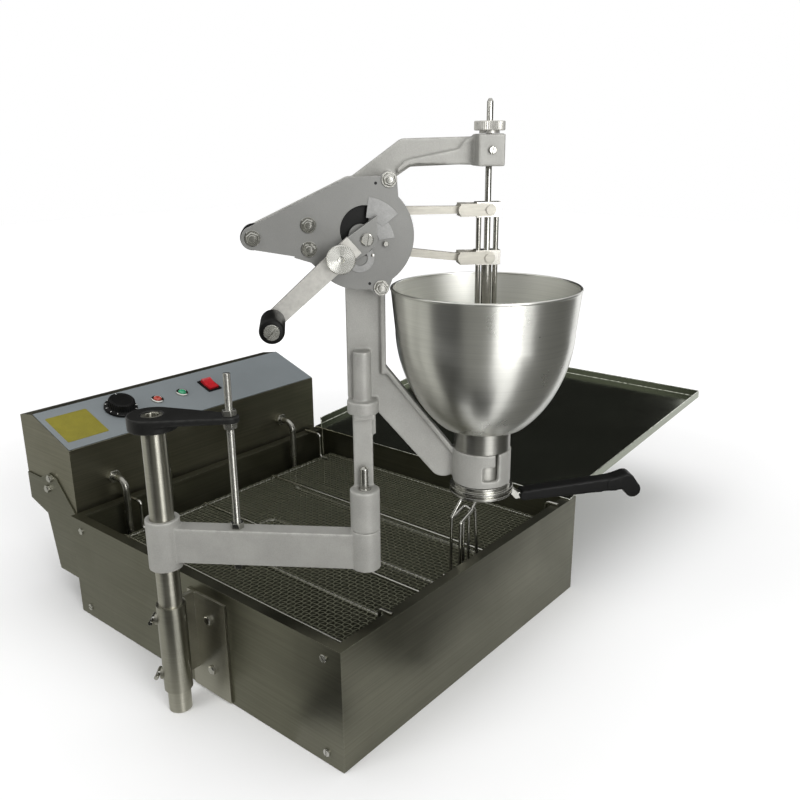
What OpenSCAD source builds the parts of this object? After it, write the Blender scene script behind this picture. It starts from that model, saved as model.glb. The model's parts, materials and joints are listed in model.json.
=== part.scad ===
// Hand-cranked donut depositor on a double swing arm, standing over an electric donut fryer.
// Millimetres. +Z is up, the front faces -Y, the origin is the middle of the tank's bottom.

/* [Fryer tank] */
// Outer width of the tank casing, left to right
tank_w = 482; // [440:1:540]
// Outer depth of the tank casing, front to rear
tank_d = 500; // [460:1:560]
// Height of the rim over the bench
tank_h = 144; // [130:1:180]
// Thickness of the folded sheet steel
sheet = 1.5; // [1:0.1:2]
// Width of the rim that turns inwards
rim_w = 13; // [11:0.5:20]
// Depth of the oil pan below the rim
pan_depth = 112; // [95:1:122]
// Width of the pan's own flange under the rim
pan_flange = 6; // [3:0.5:6]
// Width of the return folds behind the side panels
fold_w = 34; // [30:1:60]
// Distance of the panel screws from the casing's edges
screw_inset = 24; // [18:1:26]
// Distance of the panel screws from the casing's top and bottom
screw_rise = 14; // [10:1:25]

/* [Control head] */
// Width of the control head
head_w = 455; // [420:1:470]
// Gap between the tank's rear wall and the head's front face
head_gap = 7; // [4:0.5:12]
// Depth of the head, front to rear
head_d = 124; // [105:1:150]
// How far the head reaches below the rim
head_drop = 12; // [6:1:24]
// Height of the head's front face over the rim
head_front = 87; // [75:1:110]
// Height of the head's back edge over the rim
head_back = 120; // [112:1:150]
// Depth of the flat strip behind the facia
head_strip = 34; // [20:1:45]
// Thickness of the facia plate
facia_t = 1.2; // [0.8:0.1:2]
// Width of the folded edge that carries the facia
facia_edge = 9; // [6:0.5:14]
// Thermostat knob, distance from the middle
knob_x = -113; // [-150:1:-80]
// Thermostat knob, distance up the facia
knob_up = 56; // [45:1:62]
// Radius of the thermostat knob's skirt
knob_r = 24; // [18:0.5:30]
// Height of the thermostat knob
knob_h = 16; // [12:0.5:24]
// Red lamp, distance from the middle
lamp_red_x = -52; // [-70:1:-40]
// Green lamp, distance from the middle
lamp_green_x = -7; // [-20:1:10]
// Lamps and switch, distance up the facia
lamp_up = 53; // [40:1:60]
// Radius of a lamp's bezel
lamp_r = 9.5; // [7:0.5:11]
// Switch, distance from the middle
switch_x = 46; // [35:1:80]
// Width of the rocker switch's frame
switch_w = 25; // [21:0.5:30]
// Length of the rocker switch's frame
switch_l = 31; // [27:0.5:36]
// Angle that the rocker leans at rest
rocker_lean = 7; // [4:0.5:9]
// Depth of the bracket behind the tank
bracket_d = 78; // [60:1:95]
// Height of the bracket's underside over the bench
bracket_low = 37; // [25:1:60]

/* [Heating] */
// Radius of the heating tube
heater_r = 5; // [3:0.5:6]
// Height of the tube's axis over the pan's floor
heater_lift = 24; // [12:1:32]
// Left leg of the heating tube
heater_left = -168; // [-190:1:-150]
// Right leg of the heating tube
heater_right = 148; // [120:1:180]
// Height over the rim where the tube leaves the head
heater_exit = 33; // [25:1:45]
// Bend radius of the heating tube
heater_bend = 14; // [12:1:20]
// Distance of the front loops from the pan's front wall
heater_front = 46; // [30:1:80]
// Distance of the rear loop from the pan's rear wall
heater_rear = 70; // [50:1:100]
// Radius of the thermostat's probe
probe_r = 3; // [2:0.5:4]
// Thermostat probe, distance from the middle
probe_x = -96; // [-110:1:-85]

/* [Frying screen] */
// Depth of the screen below the rim
screen_drop = 41; // [30:1:50]
// Gap between the screen and the pan's side walls
screen_side_gap = 3; // [2:0.5:8]
// Gap between the screen and the pan's front wall
screen_front_gap = 6; // [5:0.5:10]
// Gap between the screen and the pan's rear wall
screen_rear_gap = 22; // [20:1:40]
// Radius of the screen's frame wire
frame_r = 2; // [1.5:0.25:3]
// Width of one flat wire of the net
net_wire = 1.6; // [1:0.1:2.5]
// Gaps of the net, left to right and front to rear
net_gaps = 17; // [8:1:17]
// Spacing of the three stiffening wires on the net
rib_pitch = 136; // [110:1:145]
// Left hangers of the screen
hanger_left = -157; // [-180:1:-140]
// Right hangers of the screen
hanger_right = 196; // [170:1:205]
// Lifting handle, distance from the middle
lift_x = 20; // [0:1:40]
// Width of the lifting handle
lift_w = 32; // [26:1:50]
// Height of the lifting handle over the screen
lift_h = 82; // [60:1:95]

/* [Drain tray] */
// Length of the tray, from the tank's wall outwards
tray_l = 456; // [380:1:500]
// Slope of the tray
tray_slope = 4.2; // [3:0.1:8]
// Height of the tray's turned-up edges
tray_edge = 13; // [10:1:24]
// Length of the tray's brackets
tray_arm = 190; // [140:1:220]
// Distance of the tray's brackets from the middle
tray_arm_y = 140; // [90:1:180]

/* [Post and swing arm] */
// Gap between the tank's left wall and the post's axis
post_out = 40.5; // [36:0.5:50]
// Post, distance in front of the middle
post_y = -29; // [-60:1:0]
// Radius of the post
post_r = 13; // [11:0.5:15]
// Wall of the post
post_wall = 3; // [2:0.5:5]
// Height of the post
post_h = 350; // [330:1:380]
// Wall of the post's sleeve
sleeve_wall = 3; // [2.5:0.5:5]
// Lower end of the sleeve
sleeve_low = 28; // [15:1:40]
// Upper end of the sleeve
sleeve_top = 136; // [120:1:150]
// Radius of a clamp screw
clamp_r = 3; // [2.5:0.5:4]
// Direction of the clamp screws round the post
clamp_yaw = 130; // [100:1:160]
// Length of the swing arm between its axes
arm_len = 220; // [190:1:240]
// Direction of the swing arm
arm_yaw = -55.3; // [-70:0.1:-40]
// Height of the arm's underside
arm_z = 191; // [180:1:210]
// Height of the arm's bar
arm_bar_h = 40; // [30:1:44]
// Thickness of the arm's bar
arm_bar_t = 20; // [14:1:24]
// Radius of the arm's collar on the post
collar_r = 18.5; // [17:0.5:22]
// How far the collar reaches past the bar, above and below
collar_over = 9; // [4:1:14]
// Radius of the elbow barrels
elbow_r = 15.5; // [12:0.5:18]
// Radius of the elbow pin
elbow_pin_r = 6; // [4:0.5:8]
// Lifting rod, distance from the post
rod_out = 82; // [70:1:100]
// Radius of the threaded lifting rod
rod_r = 4; // [3:0.5:5]
// Height of the rod's top
rod_top = 402; // [385:1:420]
// Thickness of the cap's plate
cap_t = 7; // [6:0.5:12]

/* [Depositor frame] */
// Direction of the depositor
depositor_yaw = -43.4; // [-60:0.1:-30]
// Distance from the elbow to the hopper's axis
hopper_u = 123; // [118:1:135]
// Height of the crank's axis
hub_z = 540; // [530:1:550]
// Radius of the round housing
disc_r = 50; // [48:0.5:54]
// Thickness of the front plate
plate_t = 5; // [3:0.5:6]
// Half of the gap between the housing's plates
gap_v = 10; // [10:0.5:12]
// Thickness of the casting's back plate
back_t = 6; // [5:0.5:8]
// Distance from the crank's axis to the tail bolt
tail_u = -99; // [-110:1:-90]
// Radius of the tail
tail_r = 10.5; // [10:0.5:14]
// Radius of the housing's bolts
bolt_r = 4; // [3:0.5:4]
// Width of the column
column_w = 38; // [32:1:44]
// Thickness of the casting's arms
casting_t = 12; // [10:0.5:14]
// Length of the guide block's sides
block_w = 25; // [24:0.5:30]
// Height of the guide block
block_h = 29; // [25:0.5:34]
// Height of the guide block's underside over the crank's axis
block_up = 61; // [59:0.5:66]
// Underside of the hopper clamp
clamp_z = 284; // [280:1:288]
// Height of the hopper clamp
clamp_h = 36.5; // [32:0.5:40]
// Wall of the hopper clamp
clamp_wall = 5; // [4:0.5:7]
// Radius of the stand's spigot
spigot_r = 6; // [5:0.5:7]
// Underside of the casting's foot ring
ring_z = 364; // [358:1:368]

/* [Hopper and nozzle] */
// Radius of the hopper's rim
hopper_r = 92.5; // [85:0.5:97]
// Height of the hopper's rim over the bench
hopper_top = 488; // [484:1:492]
// Depth of the hopper
hopper_h = 140; // [135:1:146]
// Height of the hopper's upper, nearly straight wall
hopper_wall_h = 43; // [35:1:55]
// Draft of the upper wall
hopper_draft = 3.3; // [1:0.1:6]
// Thickness of the hopper's wall
hopper_t = 1.5; // [1:0.1:2]
// Radius of the hopper's flat bottom
hopper_foot_r = 43; // [38:0.5:46]
// Bore radius of the nozzle
nozzle_r = 22; // [18:0.5:23]
// Wall of the nozzle
nozzle_wall = 3; // [2:0.5:4]
// Radius of the collar above the clamp
neck_r = 29; // [27:0.5:30]
// Lower end of the nozzle
nozzle_low = 271; // [269:0.5:272]
// Radius of the steering ring
steer_r = 33; // [31:0.5:36]
// Height of the steering ring
steer_h = 12; // [9:0.5:13]
// Length of the steering handle, from the hopper's axis
steer_len = 174; // [150:1:190]
// Upward slope of the steering handle
steer_slope = 4.3; // [2:0.1:8]

/* [Crank and plungers] */
// Radius of the crank's shaft
shaft_r = 7; // [5:0.5:7]
// Crank length, from the shaft to the grip
crank_len = 112; // [95:1:120]
// Direction of the crank at rest
crank_dir = 221.4; // [210:0.1:230]
// Thickness of the crank's bar
crank_t = 6; // [4:0.5:8]
// Radius of the grip
grip_r = 11.5; // [10:0.5:14]
// Length of the grip
grip_len = 47; // [40:1:70]
// Radius of the stroke knob
stroke_r = 13.5; // [12:0.5:17]
// Stroke knob, distance from the shaft
stroke_out = 27; // [25.5:0.5:30]
// Turn of the crank for one stroke
crank_turn = 110; // [60:1:120]
// Rise of the piston in one stroke
piston_lift = 20; // [12:0.5:22]
// Fall of the cutter in one stroke
cutter_drop = 18; // [10:0.5:20]
// Radius of the cams
cam_r = 42.5; // [40:0.5:43]
// Thickness of a cam
cam_t = 5; // [4:0.5:5.4]
// Lever pivots, distance from the shaft
pivot_u = -48; // [-52:0.5:-47]
// Lever pivots, height over and under the shaft
pivot_z = 11; // [9:0.5:14]
// Followers on the levers, distance from the shaft
follower_u = 22; // [20:0.5:24]
// Radius of the followers
follower_r = 2.8; // [2:0.1:3]
// Upper lever, height over the shaft
lever_up = 21.5; // [20:0.5:24]
// Lower lever's tip, depth under the shaft
lever_down = 23.5; // [20:0.5:26]
// Lower lever's follower, depth under the shaft
follower_down = 14.5; // [14:0.25:17]
// Thickness of the levers
lever_t = 7; // [5:0.5:7]
// Half of the levers' height
lever_half = 4.25; // [3.5:0.25:5]
// Radius of the guide spindle
spindle_r = 3; // [2.5:0.25:3.25]
// Height of the spindle's top over the guide block
spindle_over = 31; // [24:1:36]
// Radius of the knurled guide knob
guide_knob_r = 14.5; // [12:0.5:17]
// Radius of the piston's side rods
side_rod_r = 2.5; // [1.5:0.25:2.5]
// Distance of the side rods from the spindle
side_rod_out = 8.5; // [8.25:0.25:10]
// Radius of the cutter's tube
cutter_r = 5; // [4.25:0.25:5.25]
// Half height of the crossheads
cross_half = 7; // [5.5:0.5:8]
// Half depth of the crossheads
cross_v = 7; // [6.5:0.25:8]

/* [Clearances] */
// Radial clearance of a turning or sliding fit
run_gap = 0.06; // [0.03:0.01:0.1]
// Radial clearance of a fixed fit
snug_gap = 0.05; // [0.02:0.01:0.1]
// Gap between pieces that rest on each other
seat_gap = 0.1; // [0.05:0.05:0.3]
// Gap between pieces that pass each other
pass_gap = 0.4; // [0.3:0.05:0.8]

/* [Hidden] */
$fn = 48;
hair = 0.1;
blend_in = 0.12;

// Tank places
tank_x0 = -tank_w / 2;
tank_x1 = tank_w / 2;
tank_y0 = -tank_d / 2;
tank_y1 = tank_d / 2;
pan_w = tank_w - 2 * rim_w;
pan_d = tank_d - 2 * rim_w;
pan_floor = tank_h - pan_depth + sheet;
base_t = 2;
panel_h = tank_h - sheet;
screw_r = 2;
screw_head_r = 4.5;
bolt_m6_r = 3;
bolt_m6_af = 10;

// Control head places: profile points in Y and Z
head_y0 = tank_y1 + head_gap;
head_y1 = head_y0 + head_d;
head_z0 = tank_h - head_drop;
facia_z0 = tank_h + head_front;
facia_z1 = tank_h + head_back;
facia_run = head_d - head_strip;
facia_angle = atan2(facia_z1 - facia_z0, facia_run);
facia_len = norm([facia_run, facia_z1 - facia_z0]);
strip_fall = 6;
cheek_t = 2;
cheek_x = head_w / 2 + seat_gap;
bracket_y1 = tank_y1 + bracket_d;
pivot_up = 34;
pivot_y = tank_y1 + 65;
gland_x = head_w / 2 - 57.5;
gland_r = 9;
gland_z = head_z0 + 28;

// Controls: heights over the facia's bed, and the parts behind it
facia_top = seat_gap + facia_t;
thermo_shaft_r = 3;
thermo_depth = 22;
lamp_rise = 3;
lens_r = lamp_r - 3.5;
rocker_w = switch_w - 8;
rocker_l = switch_l - 7;
rocker_pivot = facia_top + 1;

// Screws and bolts of the casing: places in Y and Z
panel_spots = [
    for (y = [tank_y0 + screw_inset, tank_y1 - screw_inset], z = [screw_rise, panel_h - screw_rise])
        [y, z]
];
post_bolt_spots = [[post_y - 16, sleeve_low + 8], [post_y - 16, sleeve_top - 34]];
tray_bolt_spots = [
    for (y = [-tray_arm_y, tray_arm_y], dy = [-12, 12])
        [y + dy, tank_h - 50]
];
cheek_bolt_spots = [[pivot_y, tank_h + pivot_up], [pivot_y + 10, tank_h + pivot_up - 18]];

// Screen places
screen_x1 = pan_w / 2 - screen_side_gap;
screen_y0 = -pan_d / 2 + screen_front_gap;
screen_y1 = pan_d / 2 - screen_rear_gap;
screen_z = tank_h - screen_drop;
lift_y = screen_y0 + 10;
rib_mid = -0.22 * screen_x1;
wire_foot = screen_z + net_wire / 2 + frame_r * cos(22.5) + 0.02;

// Tray places
tray_z = tank_h + seat_gap;
tray_x0 = pan_w / 2 - 5;

// Post and arm places
post_x = tank_x0 - post_out;
elbow_x = post_x + arm_len * cos(arm_yaw);
elbow_y = post_y + arm_len * sin(arm_yaw);
sleeve_r = post_r + snug_gap + sleeve_wall;
clamp_high_z = sleeve_top - 20;
clamp_low_z = sleeve_low + 17;
bracket_t = 3;
arm_bar_top = arm_z + arm_bar_h;
elbow_top = arm_bar_top + 4;
collar_low = arm_z - collar_over;
collar_top = arm_bar_top + collar_over;
nut_af = 3.25 * rod_r;
nut_h = 1.6 * rod_r;
cap_z = post_h;
cap_top = cap_z + cap_t;
tip_r = post_r - 1.8;

// Depositor places, u along the depositor, v away from its front
stand_low = elbow_top + 0.3;
stand_top = stand_low + 45;
column_u = 5;
column_v0 = gap_v + back_t - casting_t + 2;
column_v1 = column_v0 + casting_t;
boss_r = spigot_r + 3;
ring_r = 16;
ear_top = [27, hub_z + 50.5];
ear_low = [18.5, hub_z - 48.5];
ear_r = 7.5;
crown = [15, hub_z + 44.5];
shoulder = [-8, hub_z + 43];
shoulder_r = 10;
tail = [tail_u, hub_z];
upper_pivot = [pivot_u, hub_z + pivot_z];
lower_pivot = [pivot_u, hub_z - pivot_z];
tail_sweep = [
    for (p = [[-1.24, -0.37], [-0.93, -0.47], [-0.78, -0.62], [-0.4, -0.4], [-0.6, 0]])
        [p[0] * disc_r, hub_z + p[1] * disc_r]
];
bolt_spots = [ear_top, ear_low, upper_pivot, lower_pivot, tail];
block_z = hub_z + block_up;
block_top = block_z + block_h;
nozzle_out = nozzle_r + nozzle_wall;
clamp_out = nozzle_out + snug_gap + clamp_wall;
hopper_low = hopper_top - hopper_h;
bowl_power = 1.76;
neck_top = hopper_low - hopper_t - seat_gap;
steer_z = clamp_z - 0.4 - steer_h;
steer_root = [hopper_u + steer_r + 5, steer_z - 7.5];
plate_v0 = -gap_v - plate_t;
back_v1 = gap_v + back_t;
head_bolt_r = 1.7 * bolt_r;
bolt_head_t = bolt_r;

// Crank places
hub_v0 = plate_v0 - 2.5;
hub_v1 = hub_v0 - 6.5;
crank_v1 = hub_v1 - crank_t;
grip_v0 = crank_v1 - seat_gap;
grip_end = grip_v0 - grip_len;
grip_bolt_r = 4;
cam_gap = gap_v - cam_t - 0.6;

// Lever motion: turn of each lever for one stroke
upper_pin_z = hub_z + lever_up;
lower_pin_z = hub_z - lever_down;
lever_span = hopper_u - pivot_u;
upper_turn = asin(piston_lift / lever_span);
lower_turn = -asin(cutter_drop / lever_span);
upper_follower = [follower_u, upper_pin_z];
lower_follower = [follower_u, hub_z - follower_down];
pin_r = 2.5;
fork_v0 = cross_v + pass_gap;
fork_t = 3;
fork_u0 = hopper_u - 28;
fork_half = lever_half + 1.75;
cross_half_u = side_rod_out + 3.5;
cutter_bore_r = spindle_r + run_gap;
piston_h = 12;
piston_z = clamp_z + 26;
cutter_low = clamp_z + 24;

// Box from its low and high corners
module block(low, high) {
    translate(low) cube(high - low);
}

// Upright round bar at a place, between two heights
module bar_z(x, y, r, z0, z1) {
    translate([x, y, z0]) cylinder(r = r, h = z1 - z0);
}

// Round bar along X between two places
module bar_x(y, z, r, x0, x1) {
    translate([x0, y, z]) rotate([0, 90, 0]) cylinder(r = r, h = x1 - x0);
}

// Round bar along Y between two places; in the depositor's frame Y is v
module bar_y(x, z, r, y0, y1) {
    translate([x, y1, z]) rotate([90, 0, 0]) cylinder(r = r, h = y1 - y0);
}

// Outline in X and Z, thickened along Y
module slab_y(y0, y1) {
    translate([0, y1, 0]) rotate([90, 0, 0]) linear_extrude(y1 - y0) children();
}

// Outline in Y and Z, thickened along X
module slab_x(x0, x1) {
    translate([x0, 0, 0]) rotate([90, 0, 90]) linear_extrude(x1 - x0) children();
}

// Corners of the strip that joins two circles, a hair inside their tangents
function strip(a, ra, b, rb) =
    let (
        d = norm(b - a),
        t = (b - a) / d,
        n = [-t[1], t[0]],
        s = (ra - rb) / d,
        c = sqrt(1 - s * s),
        up = s * t + c * n,
        dn = s * t - c * n,
        qa = ra - blend_in,
        qb = rb - blend_in
    )
    [a + qa * up, a + qa * dn, b + qb * dn, b + qb * up];

// Flat bar with round ends in the X and Z plane
module link_y(a, ra, b, rb, y0, y1) {
    slab_y(y0, y1) polygon(strip(a, ra, b, rb));
    bar_y(a[0], a[1], ra, y0, y1);
    bar_y(b[0], b[1], rb, y0, y1);
}

// Flat bar with round ends in the X and Y plane
module link_z(a, ra, b, rb, z0, z1) {
    translate([0, 0, z0]) linear_extrude(z1 - z0) polygon(strip(a, ra, b, rb));
    bar_z(a[0], a[1], ra, z0, z1);
    bar_z(b[0], b[1], rb, z0, z1);
}

// Hexagon head or nut standing on z0
module hex_z(x, y, across, z0, z1) {
    translate([x, y, z0]) cylinder(d = across / cos(30), h = z1 - z0, $fn = 6);
}

// Path with its inner corners rounded
function corner(a, b, c, r, n) =
    let (
        ta = (a - b) / norm(a - b),
        tc = (c - b) / norm(c - b),
        half = acos(max(-1, min(1, ta * tc))) / 2,
        reach = r / tan(half),
        mid = (ta + tc) / norm(ta + tc),
        centre = b + mid * r / sin(half),
        x = (b + ta * reach - centre) / r,
        turn = 180 - 2 * half,
        y0 = (b + tc * reach - centre) / r,
        y = (y0 - x * cos(turn)) / sin(turn)
    )
    [for (i = [0 : n]) centre + r * (x * cos(turn * i / n) + y * sin(turn * i / n))];

function rounded(p, r, n = 4) = [
    for (i = [0 : len(p) - 1])
        each (i == 0 || i == len(p) - 1) ? [p[i]] : corner(p[i - 1], p[i], p[i + 1], r, n)
];

function unit(v) = v / norm(v);

function along(p, i) = unit(p[min(i + 1, len(p) - 1)] - p[max(i - 1, 0)]);

function square_to(u, t) = unit(u - (u * t) * t);

// Side vectors carried along a path without twist
function sides_of(p, seed) = [
    for (i = 0, u = square_to(seed, along(p, 0)); i < len(p);
         i = i + 1, u = i < len(p) ? square_to(u, along(p, i)) : u)
        u
];

// Bent round wire along a path
module wire(path, r, sides = 8, seed = [0.31, 0.57, 0.76]) {
    us = sides_of(path, seed);
    n = len(path);
    pts = [
        for (i = [0 : n - 1])
            let (t = along(path, i), u = us[i], w = cross(t, u))
            for (k = [0 : sides - 1])
                path[i] + r * (u * cos(360 * k / sides) + w * sin(360 * k / sides))
    ];
    walls = [
        for (i = [0 : n - 2], k = [0 : sides - 1])
            let (a = i * sides + k, b = i * sides + (k + 1) % sides)
            each [[a, a + sides, b], [b, a + sides, b + sides]]
    ];
    first = [for (k = [1 : sides - 2]) [0, k, k + 1]];
    tail_ring = (n - 1) * sides;
    last = [for (k = [1 : sides - 2]) [tail_ring, tail_ring + k + 1, tail_ring + k]];
    polyhedron(points = pts, faces = concat(walls, first, last));
}

// Frames of the sloped facia, the post, the swing arm and the depositor
module on_facia() {
    translate([0, head_y0, facia_z0]) rotate([facia_angle, 0, 0]) children();
}

module at_post() {
    translate([post_x, post_y, 0]) rotate([0, 0, arm_yaw]) children();
}

module at_elbow() {
    translate([elbow_x, elbow_y, 0]) rotate([0, 0, depositor_yaw]) children();
}

module at_crank() {
    translate([0, 0, hub_z]) rotate([0, -crank_dir, 0]) children();
}

module tank_casing() {
    inner_w = tank_w - 2 * sheet;
    color([0.45, 0.45, 0.42])
    difference() {
        union() {
            block([-inner_w / 2, tank_y0, 0], [inner_w / 2, tank_y1, panel_h]);
            block([tank_x0, tank_y0, panel_h], [tank_x1, tank_y1, tank_h]);
        }
        block(
            [-inner_w / 2 + sheet, tank_y0 + sheet, -hair],
            [inner_w / 2 - sheet, tank_y1 - sheet, panel_h]
        );
        block([tank_x0 - hair, tank_y0 + fold_w, -hair], [tank_x1 + hair, tank_y1 - fold_w, panel_h]);
        block([-pan_w / 2, -pan_d / 2, panel_h - hair], [pan_w / 2, pan_d / 2, tank_h + hair]);
        for (p = panel_spots) bar_x(p[0], p[1], screw_r + snug_gap, tank_x0 - hair, tank_x1 + hair);
    }
}

module side_panels() {
    color([0.47, 0.47, 0.44])
    difference() {
        union() {
            block([tank_x0, tank_y0, 0], [tank_x0 + sheet, tank_y1, panel_h]);
            block([tank_x1 - sheet, tank_y0, 0], [tank_x1, tank_y1, panel_h]);
        }
        for (p = panel_spots) bar_x(p[0], p[1], screw_r + snug_gap, tank_x0 - hair, tank_x1 + hair);
        for (p = post_bolt_spots) bar_x(p[0], p[1], bolt_m6_r + snug_gap, tank_x0 - hair, 0);
        for (p = tray_bolt_spots) bar_x(p[0], p[1], bolt_m6_r + snug_gap, 0, tank_x1 + hair);
    }
}

// Slotted screws with low round heads
module panel_screws() {
    color([0.72, 0.72, 0.7])
    for (side = [-1, 1], p = panel_spots) {
        x = side * tank_w / 2;
        inner = x - side * 7;
        bar_x(p[0], p[1], screw_r, min(x, inner), max(x, inner));
        bar_x(p[0], p[1], screw_head_r, min(x, x + side * 2), max(x, x + side * 2));
    }
}

module oil_pan() {
    out_w = pan_w + 2 * sheet;
    out_d = pan_d + 2 * sheet;
    top = panel_h;
    color([0.3, 0.3, 0.27])
    difference() {
        union() {
            block([-out_w / 2, -out_d / 2, pan_floor - sheet], [out_w / 2, out_d / 2, top]);
            block(
                [-out_w / 2 - pan_flange, -out_d / 2 - pan_flange, top - sheet],
                [out_w / 2 + pan_flange, out_d / 2 + pan_flange, top]
            );
        }
        block([-pan_w / 2, -pan_d / 2, pan_floor], [pan_w / 2, pan_d / 2, top + hair]);
    }
}

module base_plate() {
    w = tank_w - 4 * sheet - 2 * seat_gap;
    d = tank_d - 2 * sheet - 2 * seat_gap;
    color([0.4, 0.4, 0.38])
    block([-w / 2, -d / 2, 0], [w / 2, d / 2, base_t]);
}

// Sheet bracket behind the tank, with a cheek at each end of the head
module rear_bracket() {
    cheek = [
        [tank_y1, bracket_low],
        [bracket_y1 - 8, bracket_low],
        [bracket_y1 + 8, head_z0 - 13],
        [head_y1 - 2, head_z0],
        [head_y1 - 2, tank_h + pivot_up - 6],
        [pivot_y + 28, tank_h + pivot_up - 6],
        [pivot_y + 2, tank_h + pivot_up + 7],
        [pivot_y - 16, tank_h + pivot_up + 3],
        [tank_y1 + 14, tank_h],
        [tank_y1, tank_h - 14]
    ];
    x1 = cheek_x + cheek_t;
    color([0.42, 0.42, 0.4])
    difference() {
        union() {
            for (x = [-x1, cheek_x]) slab_x(x, x + cheek_t) polygon(cheek);
            block([-x1, tank_y1, bracket_low], [x1, tank_y1 + cheek_t, tank_h - 14]);
            block([-x1, tank_y1, bracket_low], [x1, bracket_y1 - 8, bracket_low + cheek_t]);
        }
        for (p = cheek_bolt_spots) bar_x(p[0], p[1], bolt_m6_r + snug_gap, -x1 - hair, x1 + hair);
    }
}

// Hexagon bolts of the head's cheeks, the post's bracket and the tray's brackets
module bracket_bolts() {
    cheek_out = cheek_x + cheek_t;
    color([0.75, 0.75, 0.73]) {
        for (side = [-1, 1], p = cheek_bolt_spots)
            m6_bolt(side, cheek_out, p, cheek_t + sheet + 6);
        for (p = post_bolt_spots) m6_bolt(-1, tank_w / 2 + bracket_t, p, bracket_t + sheet + 4);
        for (p = tray_bolt_spots) m6_bolt(1, tank_w / 2 + bracket_t, p, bracket_t + sheet + 4);
    }
}

module m6_bolt(side, face, spot, length) {
    mirror([side < 0 ? 1 : 0, 0, 0]) translate([face, spot[0], spot[1]]) rotate([0, 90, 0]) {
        translate([0, 0, -length]) cylinder(r = bolt_m6_r, h = length);
        cylinder(d = bolt_m6_af / cos(30), h = 4, $fn = 6);
    }
}

// Folded shell of the control head, open under the facia
module head_shell() {
    outer = [
        [head_y0, head_z0],
        [head_y0, facia_z0],
        [head_y0 + facia_run, facia_z1],
        [head_y1, facia_z1 - strip_fall],
        [head_y1, head_z0]
    ];
    inner = [
        [head_y0 + sheet, head_z0 + sheet],
        [head_y0 + sheet, facia_z0 - sheet / 2],
        [head_y0 + facia_run, facia_z1 - sheet],
        [head_y1 - sheet, facia_z1 - strip_fall - sheet],
        [head_y1 - sheet, head_z0 + sheet]
    ];
    color([0.5, 0.5, 0.47])
    difference() {
        slab_x(-head_w / 2, head_w / 2) polygon(outer);
        slab_x(-head_w / 2 + sheet, head_w / 2 - sheet) polygon(inner);
        on_facia()
            block(
                [-head_w / 2 + facia_edge, facia_edge, -3 * sheet],
                [head_w / 2 - facia_edge, facia_len - facia_edge, sheet]
            );
        for (p = cheek_bolt_spots)
            bar_x(p[0], p[1], bolt_m6_r + snug_gap, -head_w / 2 - hair, head_w / 2 + hair);
        for (x = [heater_left, heater_right])
            bar_y(x, tank_h + heater_exit, heater_r + snug_gap, head_y0 - hair, head_y0 + 2 * sheet);
        bar_y(probe_x, tank_h + heater_exit, probe_r + snug_gap, head_y0 - hair, head_y0 + 2 * sheet);
        bar_y(gland_x, gland_z, gland_r + snug_gap, head_y1 - 2 * sheet, head_y1 + hair);
    }
}

// Sloped plate that carries the controls
module control_facia() {
    shaft_hole = thermo_shaft_r + pass_gap;
    color([0.72, 0.75, 0.78])
    on_facia()
        difference() {
            block(
                [-head_w / 2 + 1, 1, seat_gap],
                [head_w / 2 - 1, facia_len - 1, seat_gap + facia_t]
            );
            translate([knob_x, knob_up, -hair]) cylinder(r = shaft_hole, h = 2 * facia_t + 1);
            for (x = [lamp_red_x, lamp_green_x])
                translate([x, lamp_up, -hair]) cylinder(r = lamp_r - 2 + snug_gap, h = 2 * facia_t + 1);
            block(
                [switch_x - switch_w / 2 + 2, lamp_up - switch_l / 2 + 2, -hair],
                [switch_x + switch_w / 2 - 2, lamp_up + switch_l / 2 - 2, 2 * facia_t + 1]
            );
        }
}

module lamp_bezels() {
    color([0.85, 0.85, 0.85])
    on_facia()
        for (x = [lamp_red_x, lamp_green_x])
            translate([x, lamp_up, 0]) difference() {
                union() {
                    translate([0, 0, facia_top]) cylinder(r = lamp_r, h = lamp_rise);
                    translate([0, 0, -14]) cylinder(r = lamp_r - 2, h = 14 + facia_top);
                }
                translate([0, 0, -10]) cylinder(r = lens_r + snug_gap, h = 30);
            }
}

module lamp_lens(x) {
    on_facia()
        translate([x, lamp_up, 0]) {
            translate([0, 0, -9]) cylinder(r = lens_r, h = 9 + facia_top + lamp_rise);
            translate([0, 0, facia_top + lamp_rise]) cylinder(r1 = lens_r - 0.5, r2 = lens_r - 2.5, h = 2);
        }
}

module red_lamp() {
    color([0.95, 0.25, 0.1]) lamp_lens(lamp_red_x);
}

module green_lamp() {
    color([0.1, 0.65, 0.3]) lamp_lens(lamp_green_x);
}

module switch_frame() {
    color([0.1, 0.1, 0.1])
    on_facia()
        translate([switch_x, lamp_up, 0]) difference() {
            union() {
                block([-switch_w / 2, -switch_l / 2, facia_top], [switch_w / 2, switch_l / 2, facia_top + 2]);
                block(
                    [-switch_w / 2 + 2.1, -switch_l / 2 + 2.1, -20],
                    [switch_w / 2 - 2.1, switch_l / 2 - 2.1, facia_top + hair]
                );
            }
            block(
                [-rocker_w / 2 - pass_gap, -rocker_l / 2 - 1, -8],
                [rocker_w / 2 + pass_gap, rocker_l / 2 + 1, facia_top + 3]
            );
            translate([-rocker_w / 2 - 2, 0, rocker_pivot]) rotate([0, 90, 0])
                cylinder(r = 1.2 + run_gap, h = rocker_w + 4);
        }
}

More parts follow.
